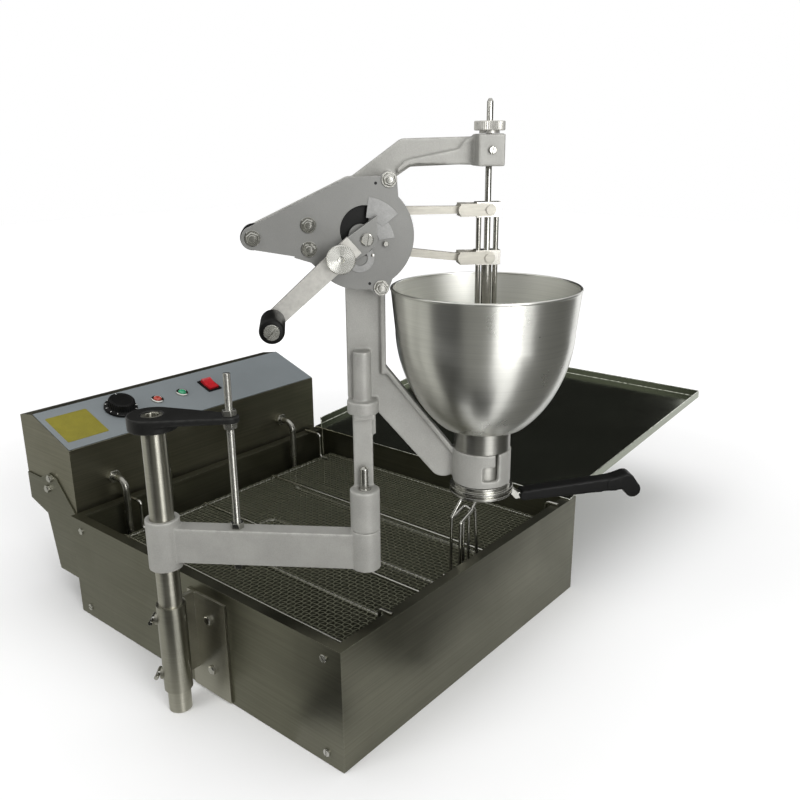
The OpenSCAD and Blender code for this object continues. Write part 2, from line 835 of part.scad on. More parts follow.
// Rocker with two slanted faces, leaning to one side, on a cross pin
module switch_rocker() {
    rise = 4;
    side = rocker_l / 2 * tan(rocker_lean);
    color([0.85, 0.06, 0.04])
    on_facia()
        translate([switch_x, lamp_up, rocker_pivot]) rotate([rocker_lean, 0, 0]) {
            slab_x(-rocker_w / 2, rocker_w / 2)
                polygon([
                    [-rocker_l / 2, -4],
                    [rocker_l / 2, -4],
                    [rocker_l / 2, rise + side],
                    [0, rise],
                    [-rocker_l / 2, rise + side]
                ]);
            translate([-rocker_w / 2 - 1.6, 0, 0]) rotate([0, 90, 0]) cylinder(r = 1.2, h = rocker_w + 3.2);
        }
}

// Thermostat behind the facia, with its shaft through the plate
module thermostat_body() {
    color([0.82, 0.8, 0.74])
    on_facia()
        translate([knob_x, knob_up, 0]) {
            block([-18, -18, -thermo_depth - 2], [18, 18, -3.6 * sheet]);
            translate([0, 0, -3.6 * sheet - hair]) cylinder(r = thermo_shaft_r + 3, h = 3.6 * sheet + hair);
            translate([0, 0, -hair]) cylinder(r = thermo_shaft_r, h = knob_h - 4);
        }
}

module thermostat_knob() {
    base = facia_top + pass_gap;
    color([0.06, 0.06, 0.06])
    on_facia()
        translate([knob_x, knob_up, 0]) difference() {
            union() {
                translate([0, 0, base]) cylinder(r = knob_r, h = 5);
                translate([0, 0, base + 5]) cylinder(r1 = knob_r - 4, r2 = knob_r - 7, h = knob_h - 5);
            }
            translate([0, 0, -hair]) cylinder(r = thermo_shaft_r + run_gap, h = knob_h - 4 + hair);
        }
}

// Stiff stem and bulb that hang in the oil behind the screen
module thermostat_probe() {
    y = pan_d / 2 - 9;
    z0 = pan_floor + heater_lift;
    color([0.7, 0.6, 0.45])
    wire(
        rounded([
            [probe_x, head_y0 + 12, tank_h + heater_exit],
            [probe_x, y, tank_h + heater_exit],
            [probe_x, y, z0]
        ], 10),
        probe_r, 10
    );
}

module terminal_block() {
    x = gland_x - 140;
    z = head_z0 + sheet + seat_gap;
    y = head_y0 + head_d / 2;
    color([0.9, 0.88, 0.8])
    difference() {
        block([x, y - 15, z], [x + 100, y + 15, z + 22]);
        for (i = [0 : 5]) bar_z(x + 10 + 16 * i, y, 3, z + 10, z + 23);
    }
}

// Bare inlet for a mains lead, closed by its blanking disc, in the rear wall
module cable_gland() {
    color([0.08, 0.08, 0.08])
    difference() {
        union() {
            bar_y(gland_x, gland_z, gland_r, head_y1 - 14, head_y1 + 14);
            translate([gland_x, head_y1 + seat_gap + 7, gland_z]) rotate([90, 0, 0])
                cylinder(d = 26, h = 7, $fn = 6);
            translate([gland_x, head_y1 - sheet - seat_gap, gland_z]) rotate([90, 0, 0])
                cylinder(d = 26, h = 5, $fn = 6);
        }
        bar_y(gland_x, gland_z, 5, head_y1 + 11, head_y1 + 15);
    }
}

// One long tube: down the rear wall, four runs over the pan's floor, and up again
module heating_tube() {
    z0 = pan_floor + heater_lift;
    z1 = tank_h + heater_exit;
    leg_y = pan_d / 2 - heater_r - 5;
    front = -pan_d / 2 + heater_front;
    rear = pan_d / 2 - heater_rear;
    step = (heater_right - heater_left) / 3;
    path = [
        [heater_left, head_y0 + 16, z1],
        [heater_left, leg_y, z1],
        [heater_left, leg_y, z0],
        [heater_left, front, z0],
        [heater_left + step, front, z0],
        [heater_left + step, rear, z0],
        [heater_right - step, rear, z0],
        [heater_right - step, front, z0],
        [heater_right, front, z0],
        [heater_right, leg_y, z0],
        [heater_right, leg_y, z1],
        [heater_right, head_y0 + 16, z1]
    ];
    color([0.55, 0.52, 0.47])
    wire(rounded(path, heater_bend, 5), heater_r, 10);
}

// Hexagon glands that seal the tube in the head's front face
module heater_glands() {
    y = head_y0 - seat_gap;
    color([0.8, 0.79, 0.75])
    difference() {
        for (x = [heater_left, heater_right])
            translate([x, y, tank_h + heater_exit]) rotate([90, 0, 0])
                cylinder(r = heater_r + 5, h = 6, $fn = 6);
        for (x = [heater_left, heater_right])
            bar_y(x, tank_h + heater_exit, heater_r + snug_gap, y - 8, y + 1);
    }
}

// Border wires under the net and stiffening wires on it
module screen_frame() {
    z = screen_z - net_wire / 2 - frame_r;
    rib_r = frame_r - 0.4;
    rib_z = screen_z + net_wire / 2 + rib_r + seat_gap / 2;
    x1 = screen_x1 - frame_r;
    y0 = screen_y0 + frame_r;
    y1 = screen_y1 - frame_r;
    color([0.6, 0.6, 0.56]) {
        for (x = [-x1, x1]) bar_y(x, z, frame_r, y0 - frame_r, y1 + frame_r);
        for (y = [y0, y1]) bar_x(y, z, frame_r - 0.2, -x1, x1);
        for (i = [-1 : 1]) bar_y(rib_mid + i * rib_pitch, rib_z, rib_r, y0, y1);
    }
}

// Flat wire net that the donuts float over
module screen_net() {
    w = 2 * screen_x1;
    d = screen_y1 - screen_y0;
    px = (w - net_wire) / net_gaps;
    py = (d - net_wire) / net_gaps;
    color([0.5, 0.5, 0.46])
    translate([-screen_x1, screen_y0, screen_z - net_wire / 2]) linear_extrude(net_wire)
        difference() {
            square([w, d]);
            for (i = [0 : net_gaps - 1], k = [0 : net_gaps - 1])
                translate([net_wire + i * px, net_wire + k * py])
                    square([px - net_wire, py - net_wire]);
        }
}

// Four bent wires that hook the screen on the front and rear rims
module screen_hangers() {
    r = frame_r;
    foot = wire_foot;
    hook = tank_h + r + seat_gap;
    color([0.75, 0.75, 0.72])
    for (x = [hanger_left, hanger_right], side = [-1, 1]) {
        edge = side < 0 ? screen_y0 : screen_y1;
        inner = edge - side * 22;
        stem = side < 0 ? edge + 1 + r : edge - 1 - r;
        rim = side * (tank_d / 2 - 4);
        wire(
            rounded([[x, inner, foot], [x, stem, foot], [x, stem, hook], [x, rim, hook]], 2.5 * r, 3),
            r
        );
    }
}

// Wire handle: two hairpins and a single leg, tied by a small loop, with a bail over them
module screen_handle() {
    r = frame_r;
    foot = wire_foot;
    top = screen_z + lift_h;
    x0 = lift_x - lift_w / 2;
    x1 = lift_x + lift_w / 2;
    loop = [
        [x0, lift_y, top],
        [x1 - 8, lift_y + 2, top + 6],
        [x1 - 5, lift_y + 15, top + 8],
        [x0 - 3, lift_y + 13.4, top + 1]
    ];
    color([0.78, 0.78, 0.75]) {
        wire(
            rounded([
                [x0 - 4, lift_y + 8, foot],
                [x0 - 4, lift_y, foot],
                [x0 - 2.6, lift_y, top],
                [x0 + 2.6, lift_y, top],
                [x0 + 4, lift_y, foot],
                [x0 + 4, lift_y + 8, foot]
            ], 2.3, 3),
            r
        );
        wire(
            rounded([
                [x1 - 6, lift_y + 16, foot],
                [x1 - 6, lift_y + 8, foot],
                [x1 - 6, lift_y + 8, top + 3],
                [x1 + 4, lift_y + 6, top + 3],
                [x1 + 6, lift_y + 2, foot],
                [x1 + 6, lift_y + 12, foot]
            ], 2.8, 3),
            r
        );
        wire(rounded(loop, 3, 3), r - 0.4);
        wire(
            rounded([
                [x0 - 3, lift_y + 24, foot],
                [x0 - 3, lift_y + 14, foot],
                [x0 - 3, lift_y + 13, top + 3],
                [x0 + 10, lift_y + 9, top + 23],
                [x1 + 16, lift_y + 9, top + 14],
                [x1 - 1, lift_y + 7, top + 3]
            ], 3.4, 3),
            r
        );
    }
}

// Point under the tray at a distance from the tank's middle
function tray_under(x) = tray_z + (x - tray_x0) * tan(tray_slope);

// Sloped tray with three turned-up edges, open to the pan
module drain_tray() {
    run = (tank_x1 - tray_x0 + tray_l) / cos(tray_slope);
    color([0.2, 0.22, 0.18])
    translate([tray_x0, 0, tray_z]) rotate([0, -tray_slope, 0])
        difference() {
            block([0, tank_y0, 0], [run, tank_y1, tray_edge]);
            block([-hair, tank_y0 + sheet, sheet], [run - sheet, tank_y1 - sheet, tray_edge + hair]);
            block([-hair, tank_y0 - hair, sheet], [tank_x1 - tray_x0 - 4, tank_y1 + hair, tray_edge + hair]);
        }
}

// Gussets bolted to the right panel, under the tray
module tray_brackets() {
    x0 = tank_x1;
    x1 = tank_x1 + tray_arm;
    low = tank_h - 62;
    under = seat_gap;
    color([0.42, 0.42, 0.4])
    difference() {
        for (y = [-tray_arm_y, tray_arm_y]) {
            slab_y(y - bracket_t / 2, y + bracket_t / 2)
                polygon([
                    [x0, low],
                    [x0 + bracket_t, low],
                    [x1, tray_under(x1) - 14],
                    [x1, tray_under(x1) - under],
                    [x0, tray_under(x0) - under]
                ]);
            block([x0, y - 19, low], [x0 + bracket_t, y + 19, tank_h - 38]);
        }
        for (p = tray_bolt_spots) bar_x(p[0], p[1], bolt_m6_r + snug_gap, x0 - hair, x0 + 2 * bracket_t);
    }
}

// Radial place of a clamp screw round the post
module at_clamp(z) {
    translate([post_x, post_y, z]) rotate([0, 0, clamp_yaw]) rotate([0, 90, 0]) children();
}

// Sleeve for the post, with its web and the plate bolted to the left panel
module post_sleeve() {
    plate_x = tank_x0 - bracket_t;
    color([0.55, 0.55, 0.52])
    difference() {
        union() {
            bar_z(post_x, post_y, sleeve_r, sleeve_low, sleeve_top);
            block([post_x, post_y + 9.5, sleeve_low + 2], [plate_x + hair, post_y + 15, sleeve_top - 6]);
            block([plate_x, post_y - 45, 2], [tank_x0, post_y + 22, sleeve_top - 6]);
            for (z = [clamp_low_z, clamp_high_z])
                at_clamp(z) translate([0, 0, post_r + 1]) cylinder(r = clamp_r + 3.5, h = sleeve_wall + 1.5);
        }
        bar_z(post_x, post_y, post_r + snug_gap, sleeve_low - hair, sleeve_top + hair);
        for (z = [clamp_low_z, clamp_high_z])
            at_clamp(z) cylinder(r = clamp_r + run_gap, h = sleeve_r + 12);
        for (p = post_bolt_spots) bar_x(p[0], p[1], bolt_m6_r + snug_gap, plate_x - hair, tank_x0 + hair);
    }
}

// Screw with a cross bar that presses on the post
module clamp_screw(z) {
    reach = post_r + 0.3;
    head = sleeve_r + 6;
    at_clamp(z) {
        translate([0, 0, reach]) cylinder(r = clamp_r, h = head - reach);
        translate([0, 10, head]) rotate([90, 0, 0]) cylinder(r = clamp_r - 0.5, h = 20);
    }
}

module upper_clamp_screw() {
    color([0.78, 0.78, 0.75]) clamp_screw(clamp_high_z);
}

module lower_clamp_screw() {
    color([0.78, 0.78, 0.75]) clamp_screw(clamp_low_z);
}

module post() {
    color([0.7, 0.7, 0.67])
    difference() {
        union() {
            bar_z(post_x, post_y, post_r, 0, post_h - 0.3);
            bar_z(post_x, post_y, tip_r, post_h - 1, cap_top - 1);
        }
        bar_z(post_x, post_y, post_r - post_wall, -hair, post_h - 6);
        bar_z(post_x, post_y, tip_r - 4, post_h - 7, cap_top);
    }
}

// Black cap on the post's top, with the lug that holds the lifting rod
module mast_cap() {
    hub_r = 2 * post_r;
    hub_low = cap_z - 8;
    color([0.07, 0.07, 0.07])
    at_post()
        difference() {
            union() {
                link_z([0, 0], hub_r, [rod_out, 0], rod_r + 6, cap_z, cap_top);
                bar_z(0, 0, hub_r, hub_low, cap_top);
            }
            bar_z(0, 0, post_r + run_gap, hub_low - hair, post_h);
            bar_z(0, 0, tip_r + run_gap, post_h - hair, cap_top + hair);
            bar_z(rod_out, 0, rod_r + pass_gap, cap_z - hair, cap_top + hair);
        }
}

module rod_nut(z0) {
    difference() {
        hex_z(rod_out, 0, nut_af, z0, z0 + nut_h);
        bar_z(rod_out, 0, rod_r + run_gap, z0 - hair, z0 + nut_h + hair);
    }
}

module cap_nuts() {
    color([0.85, 0.84, 0.8])
    at_post() {
        rod_nut(cap_z - seat_gap - nut_h);
        rod_nut(cap_top + seat_gap);
    }
}

module arm_nuts() {
    color([0.85, 0.84, 0.8])
    at_post() {
        rod_nut(arm_z - seat_gap - nut_h);
        rod_nut(arm_bar_top + seat_gap);
    }
}

// Arm with a collar on the post and the lower barrel of the elbow
module swing_arm() {
    color([0.62, 0.62, 0.6])
    at_post()
        difference() {
            union() {
                bar_z(0, 0, collar_r, collar_low, collar_top);
                block([0, -arm_bar_t / 2, arm_z], [arm_len, arm_bar_t / 2, arm_bar_top]);
                bar_z(arm_len, 0, elbow_r, arm_z - 1, elbow_top);
            }
            bar_z(0, 0, post_r + run_gap, collar_low - hair, collar_top + hair);
            bar_z(arm_len, 0, elbow_pin_r + snug_gap, arm_z - 2, elbow_top + hair);
            bar_z(rod_out, 0, rod_r + snug_gap, arm_z - hair, arm_bar_top + hair);
        }
}

module lifting_rod() {
    color([0.75, 0.72, 0.64])
    at_post() bar_z(rod_out, 0, rod_r, arm_z - nut_h - 2, rod_top);
}

module elbow_pin() {
    color([0.9, 0.9, 0.88])
    at_post() {
        bar_z(arm_len, 0, elbow_pin_r, arm_z - 1, stand_top);
        bar_z(arm_len, 0, elbow_pin_r - 1.6, stand_top - 1, stand_top + 22);
        translate([arm_len, 0, stand_top + 22]) cylinder(r1 = elbow_pin_r - 1.6, r2 = 1.5, h = 2.5);
    }
}

// Upper barrel of the elbow, flat upright and the spigot that carries the casting
module stand() {
    v0 = elbow_pin_r;
    v1 = v0 + 8;
    head_top = ring_z - seat_gap;
    color([0.55, 0.55, 0.54])
    at_elbow()
        difference() {
            union() {
                bar_z(0, 0, elbow_r, stand_low, stand_top);
                block([-10, v0, stand_low + 24], [10, v1, head_top - 5]);
                block([-10, v0 + 3, head_top - 28], [13.5, v1, head_top]);
                block([-10, -spigot_r - 2, head_top - 7], [11.5, v1, head_top]);
                bar_z(0, 0, spigot_r, head_top - hair, ring_z + 52);
            }
            bar_z(0, 0, elbow_pin_r + run_gap, stand_low - hair, stand_top + hair);
        }
}

// Outline shared by the front plate and the casting's back plate
module housing_outline(v0, v1) {
    bar_y(0, hub_z, disc_r, v0, v1);
    link_y(tail, tail_r, [-0.8 * disc_r, hub_z], 0.42 * disc_r, v0, v1);
    slab_y(v0, v1) polygon(tail_sweep);
    link_y(tail, tail_r, shoulder, shoulder_r, v0, v1);
    link_y(shoulder, shoulder_r, crown, 9.5, v0, v1);
    link_y([4, hub_z], disc_r - 12, ear_low, ear_r, v0, v1);
    link_y([4, hub_z], disc_r - 16, ear_top, ear_r, v0, v1);
}

// Cast frame: back plate, column, lower arm with the hopper clamp, upper arm with the guide block
module depositor_casting() {
    v0 = column_v0;
    v1 = column_v1;
    half = column_w / 2;
    bend = [column_u + 3.8, 399];
    bend_r = 19;
    wrist = [hopper_u - clamp_out - 8.2, clamp_z + clamp_h / 2 + 1];
    wrist_r = 17;
    column_low = ring_z + 11;
    column_top = hub_z - 47;
    elbow = [46, block_z + 12.5];
    rib_t = 5;
    rib_v = v0 - 6;
    color([0.6, 0.6, 0.58])
    at_elbow()
        difference() {
            union() {
                housing_outline(gap_v, back_v1);
                for (p = [ear_top, ear_low]) bar_y(p[0], p[1], bolt_r + 2.5, -gap_v, gap_v + hair);
                block([column_u - half, gap_v, column_low], [column_u + half, v1, hub_z - 30]);
                block([column_u - half, v0, column_low], [column_u + half, v1, column_top]);
                link_y(bend, bend_r, wrist, wrist_r, v0, v1);
                block(
                    [column_u + half - rib_t, rib_v, bend[1] + 3],
                    [column_u + half, v0 + hair, column_top - 9]
                );
                slab_y(rib_v, v0 + hair) polygon(rib_strip(bend, bend_r, wrist, wrist_r, rib_t));
                bar_z(hopper_u, 0, clamp_out, clamp_z, clamp_z + clamp_h);
                link_y([0, hub_z + 42], 12, elbow, 13, gap_v, v1);
                link_y(elbow, 13, [hopper_u - 6, block_z + block_h / 2], 12.5, gap_v, v1);
                slab_y(gap_v - 5, v1) polygon(arm_lip);
                block(
                    [hopper_u - block_w / 2, -block_w / 2, block_z],
                    [hopper_u + block_w / 2, v1, block_top]
                );
                bar_z(0, 0, ring_r, ring_z, ring_z + 13);
                bar_z(0, 0, boss_r, ring_z + 12, ring_z + 63);
                block([-boss_r + 2, 0, ring_z + 12], [boss_r - 2, v0 + hair, ring_z + 61]);
            }
            bar_z(hopper_u, 0, nozzle_out + snug_gap, clamp_z - 40, clamp_z + clamp_h + hair);
            bar_z(hopper_u, 0, neck_r + 1, clamp_z + clamp_h, clamp_z + clamp_h + 40);
            bar_z(hopper_u, 0, spindle_r + snug_gap, block_z - hair, block_top + hair);
            bar_z(0, 0, spigot_r + snug_gap, ring_z - hair, ring_z + 54);
            bar_y(0, hub_z, shaft_r + run_gap, gap_v - hair, v1 + hair);
            for (p = bolt_spots) bar_y(p[0], p[1], bolt_r + snug_gap, -gap_v - hair, v1 + hair);
            bar_y(hopper_u, block_z + block_h / 2, 2 + snug_gap, -block_w / 2 - hair, -spindle_r);
            clamp_slot();
        }
}

// Raised lip under the upper arm, from the ear to the guide block
arm_lip = [
    for (p = [[-86, -6], [-86, -2], [-79, 5], [-71, 7.5], [-28, 15.5], [-25, 19], [-21, 23.5], [-12, 27],
              [-12, 1], [-66, 2.5], [-75, 1], [-82, -3]])
        [hopper_u + p[0], block_z + p[1]]
];

// Strip along the upper edge of the lower arm
function rib_strip(a, ra, b, rb, t) =
    let (
        d = (b - a) / norm(b - a),
        n = [-d[1], d[0]]
    )
    [a + (ra - t) * n, a + (ra - 0.2) * n, b + (rb - 0.2) * n, b + (rb - t) * n];

// Bayonet slot in the clamp: a slit from the top and a square window
module clamp_slot() {
    translate([hopper_u, 0, 0]) rotate([0, 0, -70]) {
        block([nozzle_out - 2, -2, clamp_z + 8], [clamp_out + 2, 2, clamp_z + clamp_h + hair]);
        block([nozzle_out - 2, -15, clamp_z + 8], [clamp_out + 2, 2, clamp_z + 23]);
    }
}

// Flat front plate of the housing, open at the left of the shaft's boss
module front_plate() {
    v0 = plate_v0;
    v1 = -gap_v;
    color([0.5, 0.5, 0.5])
    at_elbow()
        difference() {
            housing_outline(v0, v1);
            difference() {
                bar_y(4, hub_z + 5, 23, v0 - hair, v1 + hair);
                bar_y(0, hub_z, shaft_r + 4, v0 - 1, v1 + 1);
                block([8, v0 - 1, hub_z - 30], [40, v1 + 1, hub_z + 40]);
            }
            bar_y(0, hub_z, shaft_r + run_gap, v0 - hair, v1 + hair);
            for (p = bolt_spots) bar_y(p[0], p[1], bolt_r + snug_gap, v0 - hair, v1 + hair);
        }
}

// Bolts through the housing, and the set screw of the guide block
module housing_bolts() {
    color([0.8, 0.8, 0.78])
    at_elbow() {
        for (p = bolt_spots) {
            bar_y(p[0], p[1], bolt_r, plate_v0 - seat_gap - hair, back_v1 + 6);
            bar_y(p[0], p[1], head_bolt_r, plate_v0 - seat_gap - bolt_head_t, plate_v0 - seat_gap);
        }
        bar_y(hopper_u, block_z + block_h / 2, 2, -block_w / 2 - 1, -spindle_r - seat_gap);
        bar_y(hopper_u, block_z + block_h / 2, 3.5, -block_w / 2 - seat_gap - 4, -block_w / 2 - seat_gap);
    }
}

// Dark spacer roller on the tail bolt
module tail_roller() {
    color([0.12, 0.12, 0.12])
    at_elbow()
        difference() {
            bar_y(tail[0], tail[1], tail_r + 1, -gap_v + 0.3, gap_v - 0.3);
            bar_y(tail[0], tail[1], bolt_r + snug_gap, -gap_v, gap_v);
        }
}

// Shaft with the pointed hub plate
module crank_shaft() {
    color([0.66, 0.66, 0.64])
    at_elbow() {
        bar_y(0, hub_z, shaft_r, hub_v1 + hair, back_v1 + 6);
        at_crank()
            difference() {
                slab_y(hub_v1, hub_v0)
                    polygon([[20, -9], [20, 11], [10, 14.5], [-7, 14], [-24, -4.5], [9, -8.5]]);
                bar_y(stroke_out - 14, 0, 1.6, hub_v1 - hair, hub_v0 + hair);
            }
    }
}

// Place of a follower in the turning cam, at a share of the stroke
function turned(p, about, a) =
    about + [
        (p - about)[0] * cos(a) - (p - about)[1] * sin(a),
        (p - about)[0] * sin(a) + (p - about)[1] * cos(a)
    ];

function cam_point(follower, pivot, turn, share) =
    turned(turned(follower, pivot, turn * share), [0, hub_z], crank_turn * share);

// Outline of a cam's slot, as wide as the follower and its clearance
function cam_track(follower, pivot, turn, half, steps = 20) =
    let (
        mids = [for (i = [0 : steps]) cam_point(follower, pivot, turn, i / steps)],
        c = [0, hub_z]
    )
    concat(
        [for (p = mids) p + half * unit(p - c)],
        [for (i = [0 : steps]) mids[steps - i] - half * unit(mids[steps - i] - c)]
    );

module cam(follower, pivot, turn, v0, v1) {
    half = follower_r + pass_gap;
    start = cam_point(follower, pivot, turn, 0);
    end = cam_point(follower, pivot, turn, 1);
    difference() {
        bar_y(0, hub_z, cam_r, v0, v1);
        bar_y(0, hub_z, shaft_r + snug_gap, v0 - hair, v1 + hair);
        slab_y(v0 - hair, v1 + hair) polygon(cam_track(follower, pivot, turn, half));
        bar_y(start[0], start[1], half, v0 - hair, v1 + hair);
        bar_y(end[0], end[1], half, v0 - hair, v1 + hair);
    }
}

// Slotted cams: one lifts the upper lever, one lowers the lower lever
module upper_cam() {
    color([0.74, 0.72, 0.66])
    at_elbow() cam(upper_follower, upper_pivot, upper_turn, -cam_gap - cam_t, -cam_gap);
}

module lower_cam() {
    color([0.74, 0.72, 0.66])
    at_elbow() cam(lower_follower, lower_pivot, lower_turn, cam_gap, cam_gap + cam_t);
}

// Flat crank bar from the hub plate to the grip
module crank_arm() {
    color([0.62, 0.61, 0.58])
    at_elbow() at_crank()
        difference() {
            link_y([0, 0], 10, [crank_len, 0], 8.5, crank_v1, hub_v1);
            block([-12, crank_v1 - hair, -12], [9.5, hub_v1 + hair, 12]);
            bar_y(crank_len, 0, grip_bolt_r + snug_gap, crank_v1 - hair, hub_v1 + hair);
            bar_y(stroke_out, 0, 3 + run_gap, crank_v1 - hair, hub_v1 + hair);
        }
}

// Slotted bolt that the grip turns on
module grip_bolt() {
    color([0.75, 0.75, 0.73])
    at_elbow() at_crank()
        difference() {
            union() {
                bar_y(crank_len, 0, grip_bolt_r, grip_end - seat_gap - hair, hub_v1);
                bar_y(crank_len, 0, 7, grip_end - seat_gap - 3, grip_end - seat_gap);
            }
            block([crank_len - 8, grip_end - 5, -0.8], [crank_len + 8, grip_end - seat_gap - 1.8, 0.8]);
        }
}

module crank_grip() {
    color([0.06, 0.06, 0.06])
    at_elbow() at_crank()
        difference() {
            bar_y(crank_len, 0, grip_r, grip_end, grip_v0);
            bar_y(crank_len, 0, grip_bolt_r + run_gap, grip_end - hair, grip_v0 + hair);
        }
}

// Disc knob that clamps the stroke setting
module stroke_knob() {
    v1 = crank_v1 - 0.3;
    color([0.82, 0.82, 0.8])
    at_elbow() at_crank() {
        bar_y(stroke_out, 0, 3, v1 - hair, hub_v1 - 0.3);
        bar_y(stroke_out, 0, 8, v1 - 5, v1);
        bar_y(stroke_out, 0, stroke_r, v1 - 12, v1 - 5 + hair);
    }
}

// Lever: eye on its pivot bolt, knee, straight bar and a fork with two pins
module lever(pivot, tip_z, follower, v_side) {
    tip = [hopper_u, tip_z];
    root = [fork_u0 + 4, tip_z];
    t = lever_t / 2;
    fork_out = fork_v0 + fork_t;
    difference() {
        union() {
            bar_y(pivot[0], pivot[1], bolt_r + 4, -t, t);
            link_y(pivot, lever_half, follower, lever_half, -t, t);
            link_y(follower, lever_half, root, lever_half - 0.7, -t, t);
            block([fork_u0, -fork_out, tip_z - fork_half], [fork_u0 + 8, fork_out, tip_z + fork_half]);
            for (side = [-1, 1]) {
                inner = side < 0 ? -fork_out : fork_v0;
                link_y([fork_u0 + 4, tip_z], fork_half, tip, fork_half, inner, inner + fork_t);
                pin_in = side < 0 ? -fork_v0 - hair : fork_v0 - 2.3;
                bar_y(tip[0], tip[1], pin_r, pin_in, pin_in + 2.3 + hair);
                head_out = side < 0 ? -fork_out - 2 : fork_out - hair;
                bar_y(tip[0], tip[1], 4, head_out, head_out + 2 + hair);
            }
            reach = cam_gap + cam_t - 0.4;
            bar_y(follower[0], follower[1], follower_r, v_side < 0 ? -reach : 0, v_side < 0 ? 0 : reach);
        }
        bar_y(pivot[0], pivot[1], bolt_r + run_gap, -gap_v, gap_v);
    }
}

module upper_lever() {
    color([0.85, 0.83, 0.76])
    at_elbow() lever(upper_pivot, upper_pin_z, upper_follower, -1);
}

module lower_lever() {
    color([0.85, 0.83, 0.76])
    at_elbow() lever(lower_pivot, lower_pin_z, lower_follower, 1);
}

// Fixed rod from the guide block down to the forming disc
module guide_spindle() {
    top = block_top + spindle_over;
    color([0.78, 0.77, 0.74])
    at_elbow() {
        bar_z(hopper_u, 0, spindle_r, nozzle_low + 3, top - 3);
        translate([hopper_u, 0, top - 3]) cylinder(r1 = spindle_r, r2 = spindle_r - 1.5, h = 3);
        bar_z(hopper_u, 0, nozzle_r - 6, nozzle_low + 1, nozzle_low + 5);
    }
}

// Knurled nut on top of the guide block
module guide_knob() {
    z0 = block_top + 0.3;
    color([0.72, 0.72, 0.7])
    at_elbow()
        difference() {
            union() {
                bar_z(hopper_u, 0, guide_knob_r - 5, z0, z0 + 3);
                bar_z(hopper_u, 0, guide_knob_r, z0 + 2.5, z0 + 11);
            }
            bar_z(hopper_u, 0, spindle_r + run_gap, z0 - hair, z0 + 12);
        }
}

// Block that slides on the spindle, with a slot on each side for a lever's pins
module crosshead(z) {
    slot_l = 3.2;
    slot_r = pin_r + 0.3;
    difference() {
        block(
            [hopper_u - cross_half_u, -cross_v, z - cross_half],
            [hopper_u + cross_half_u, cross_v, z + cross_half]
        );
        bar_z(hopper_u, 0, spindle_r + run_gap, z - cross_half - hair, z + cross_half + hair);
        for (side = [-1, 1]) {
            y0 = side < 0 ? -cross_v - hair : cross_v - 2.4;
            y1 = y0 + 2.4 + hair;
            block([hopper_u - slot_l, y0, z - slot_r], [hopper_u + 0.6, y1, z + slot_r]);
            bar_y(hopper_u - slot_l, z, slot_r, y0, y1);
            bar_y(hopper_u + 0.6, z, slot_r, y0, y1);
        }
    }
}

// Upper crosshead with the two long rods of the piston
module piston_rods() {
    color([0.83, 0.82, 0.77])
    at_elbow() {
        crosshead(upper_pin_z);
        for (side = [-1, 1])
            bar_z(
                hopper_u + side * side_rod_out, 0, side_rod_r,
                piston_z + 3, upper_pin_z - cross_half + hair
            );
    }
}

module piston() {
    color([0.85, 0.85, 0.82])
    at_elbow()
        difference() {
            bar_z(hopper_u, 0, nozzle_r - run_gap, piston_z, piston_z + piston_h);
            bar_z(hopper_u, 0, cutter_r + pass_gap, piston_z - hair, piston_z + piston_h + hair);
            for (side = [-1, 1])
                bar_z(hopper_u + side * side_rod_out, 0, side_rod_r + snug_gap,
                      piston_z + 3 - seat_gap, piston_z + piston_h + hair);
        }
}

// Lower crosshead with the tube that cuts the dough
module cutter_tube() {
    low = lower_pin_z - cross_half;
    color([0.83, 0.82, 0.77])
    at_elbow()
        difference() {
            union() {
                crosshead(lower_pin_z);
                bar_z(hopper_u, 0, cutter_r, cutter_low, low + hair);
            }
            bar_z(hopper_u, 0, cutter_bore_r, cutter_low - hair, low + 2 * hair);
            for (side = [-1, 1])
                bar_z(hopper_u + side * side_rod_out, 0, side_rod_r + pass_gap,
                      low - hair, lower_pin_z + cross_half + hair);
        }
}

// Outline of the bowl at a distance inside its outer face
function bowl_curve(inset, steps = 14) =
    let (
        belly_r = hopper_r - hopper_draft - inset,
        belly_z = hopper_top - hopper_wall_h,
        foot_r = hopper_foot_r - inset,
        end = pow(1 - pow(foot_r / belly_r, 2), 1 / bowl_power),
        drop = (belly_z - hopper_low + hopper_t - inset) / end
    )
    [
        for (i = [0 : steps])
            let (s = end * sin(90 * i / steps))
            [belly_r * sqrt(1 - pow(s, bowl_power)), belly_z - drop * s]
    ];

// Spun bowl with a rolled rim and a flat bottom round the nozzle's mouth
module hopper() {
    outer = bowl_curve(0);
    inner = bowl_curve(hopper_t);
    last = len(outer) - 1;
    bead_r = 1.5;
    bead = [for (a = [-60 : 30 : 210]) [hopper_r + bead_r * cos(a), hopper_top - bead_r + bead_r * sin(a)]];
    profile = concat(
        bead,
        [[hopper_r - hopper_t, hopper_top - 2 * bead_r]],
        inner,
        [[nozzle_r, hopper_low], [nozzle_r, hopper_low - hopper_t]],
        [for (i = [0 : last]) outer[last - i]]
    );
    color([0.75, 0.75, 0.72])
    at_elbow()
        translate([hopper_u, 0, 0]) rotate_extrude($fn = 96) polygon(profile);
}

// Nozzle tube with the collar that rests on the clamp
module nozzle() {
    seat = clamp_z + clamp_h + seat_gap;
    color([0.78, 0.78, 0.75])
    at_elbow()
        difference() {
            union() {
                bar_z(hopper_u, 0, nozzle_out, nozzle_low, neck_top);
                bar_z(hopper_u, 0, neck_r, seat, neck_top);
            }
            bar_z(hopper_u, 0, nozzle_r, nozzle_low - hair, neck_top + hair);
        }
}

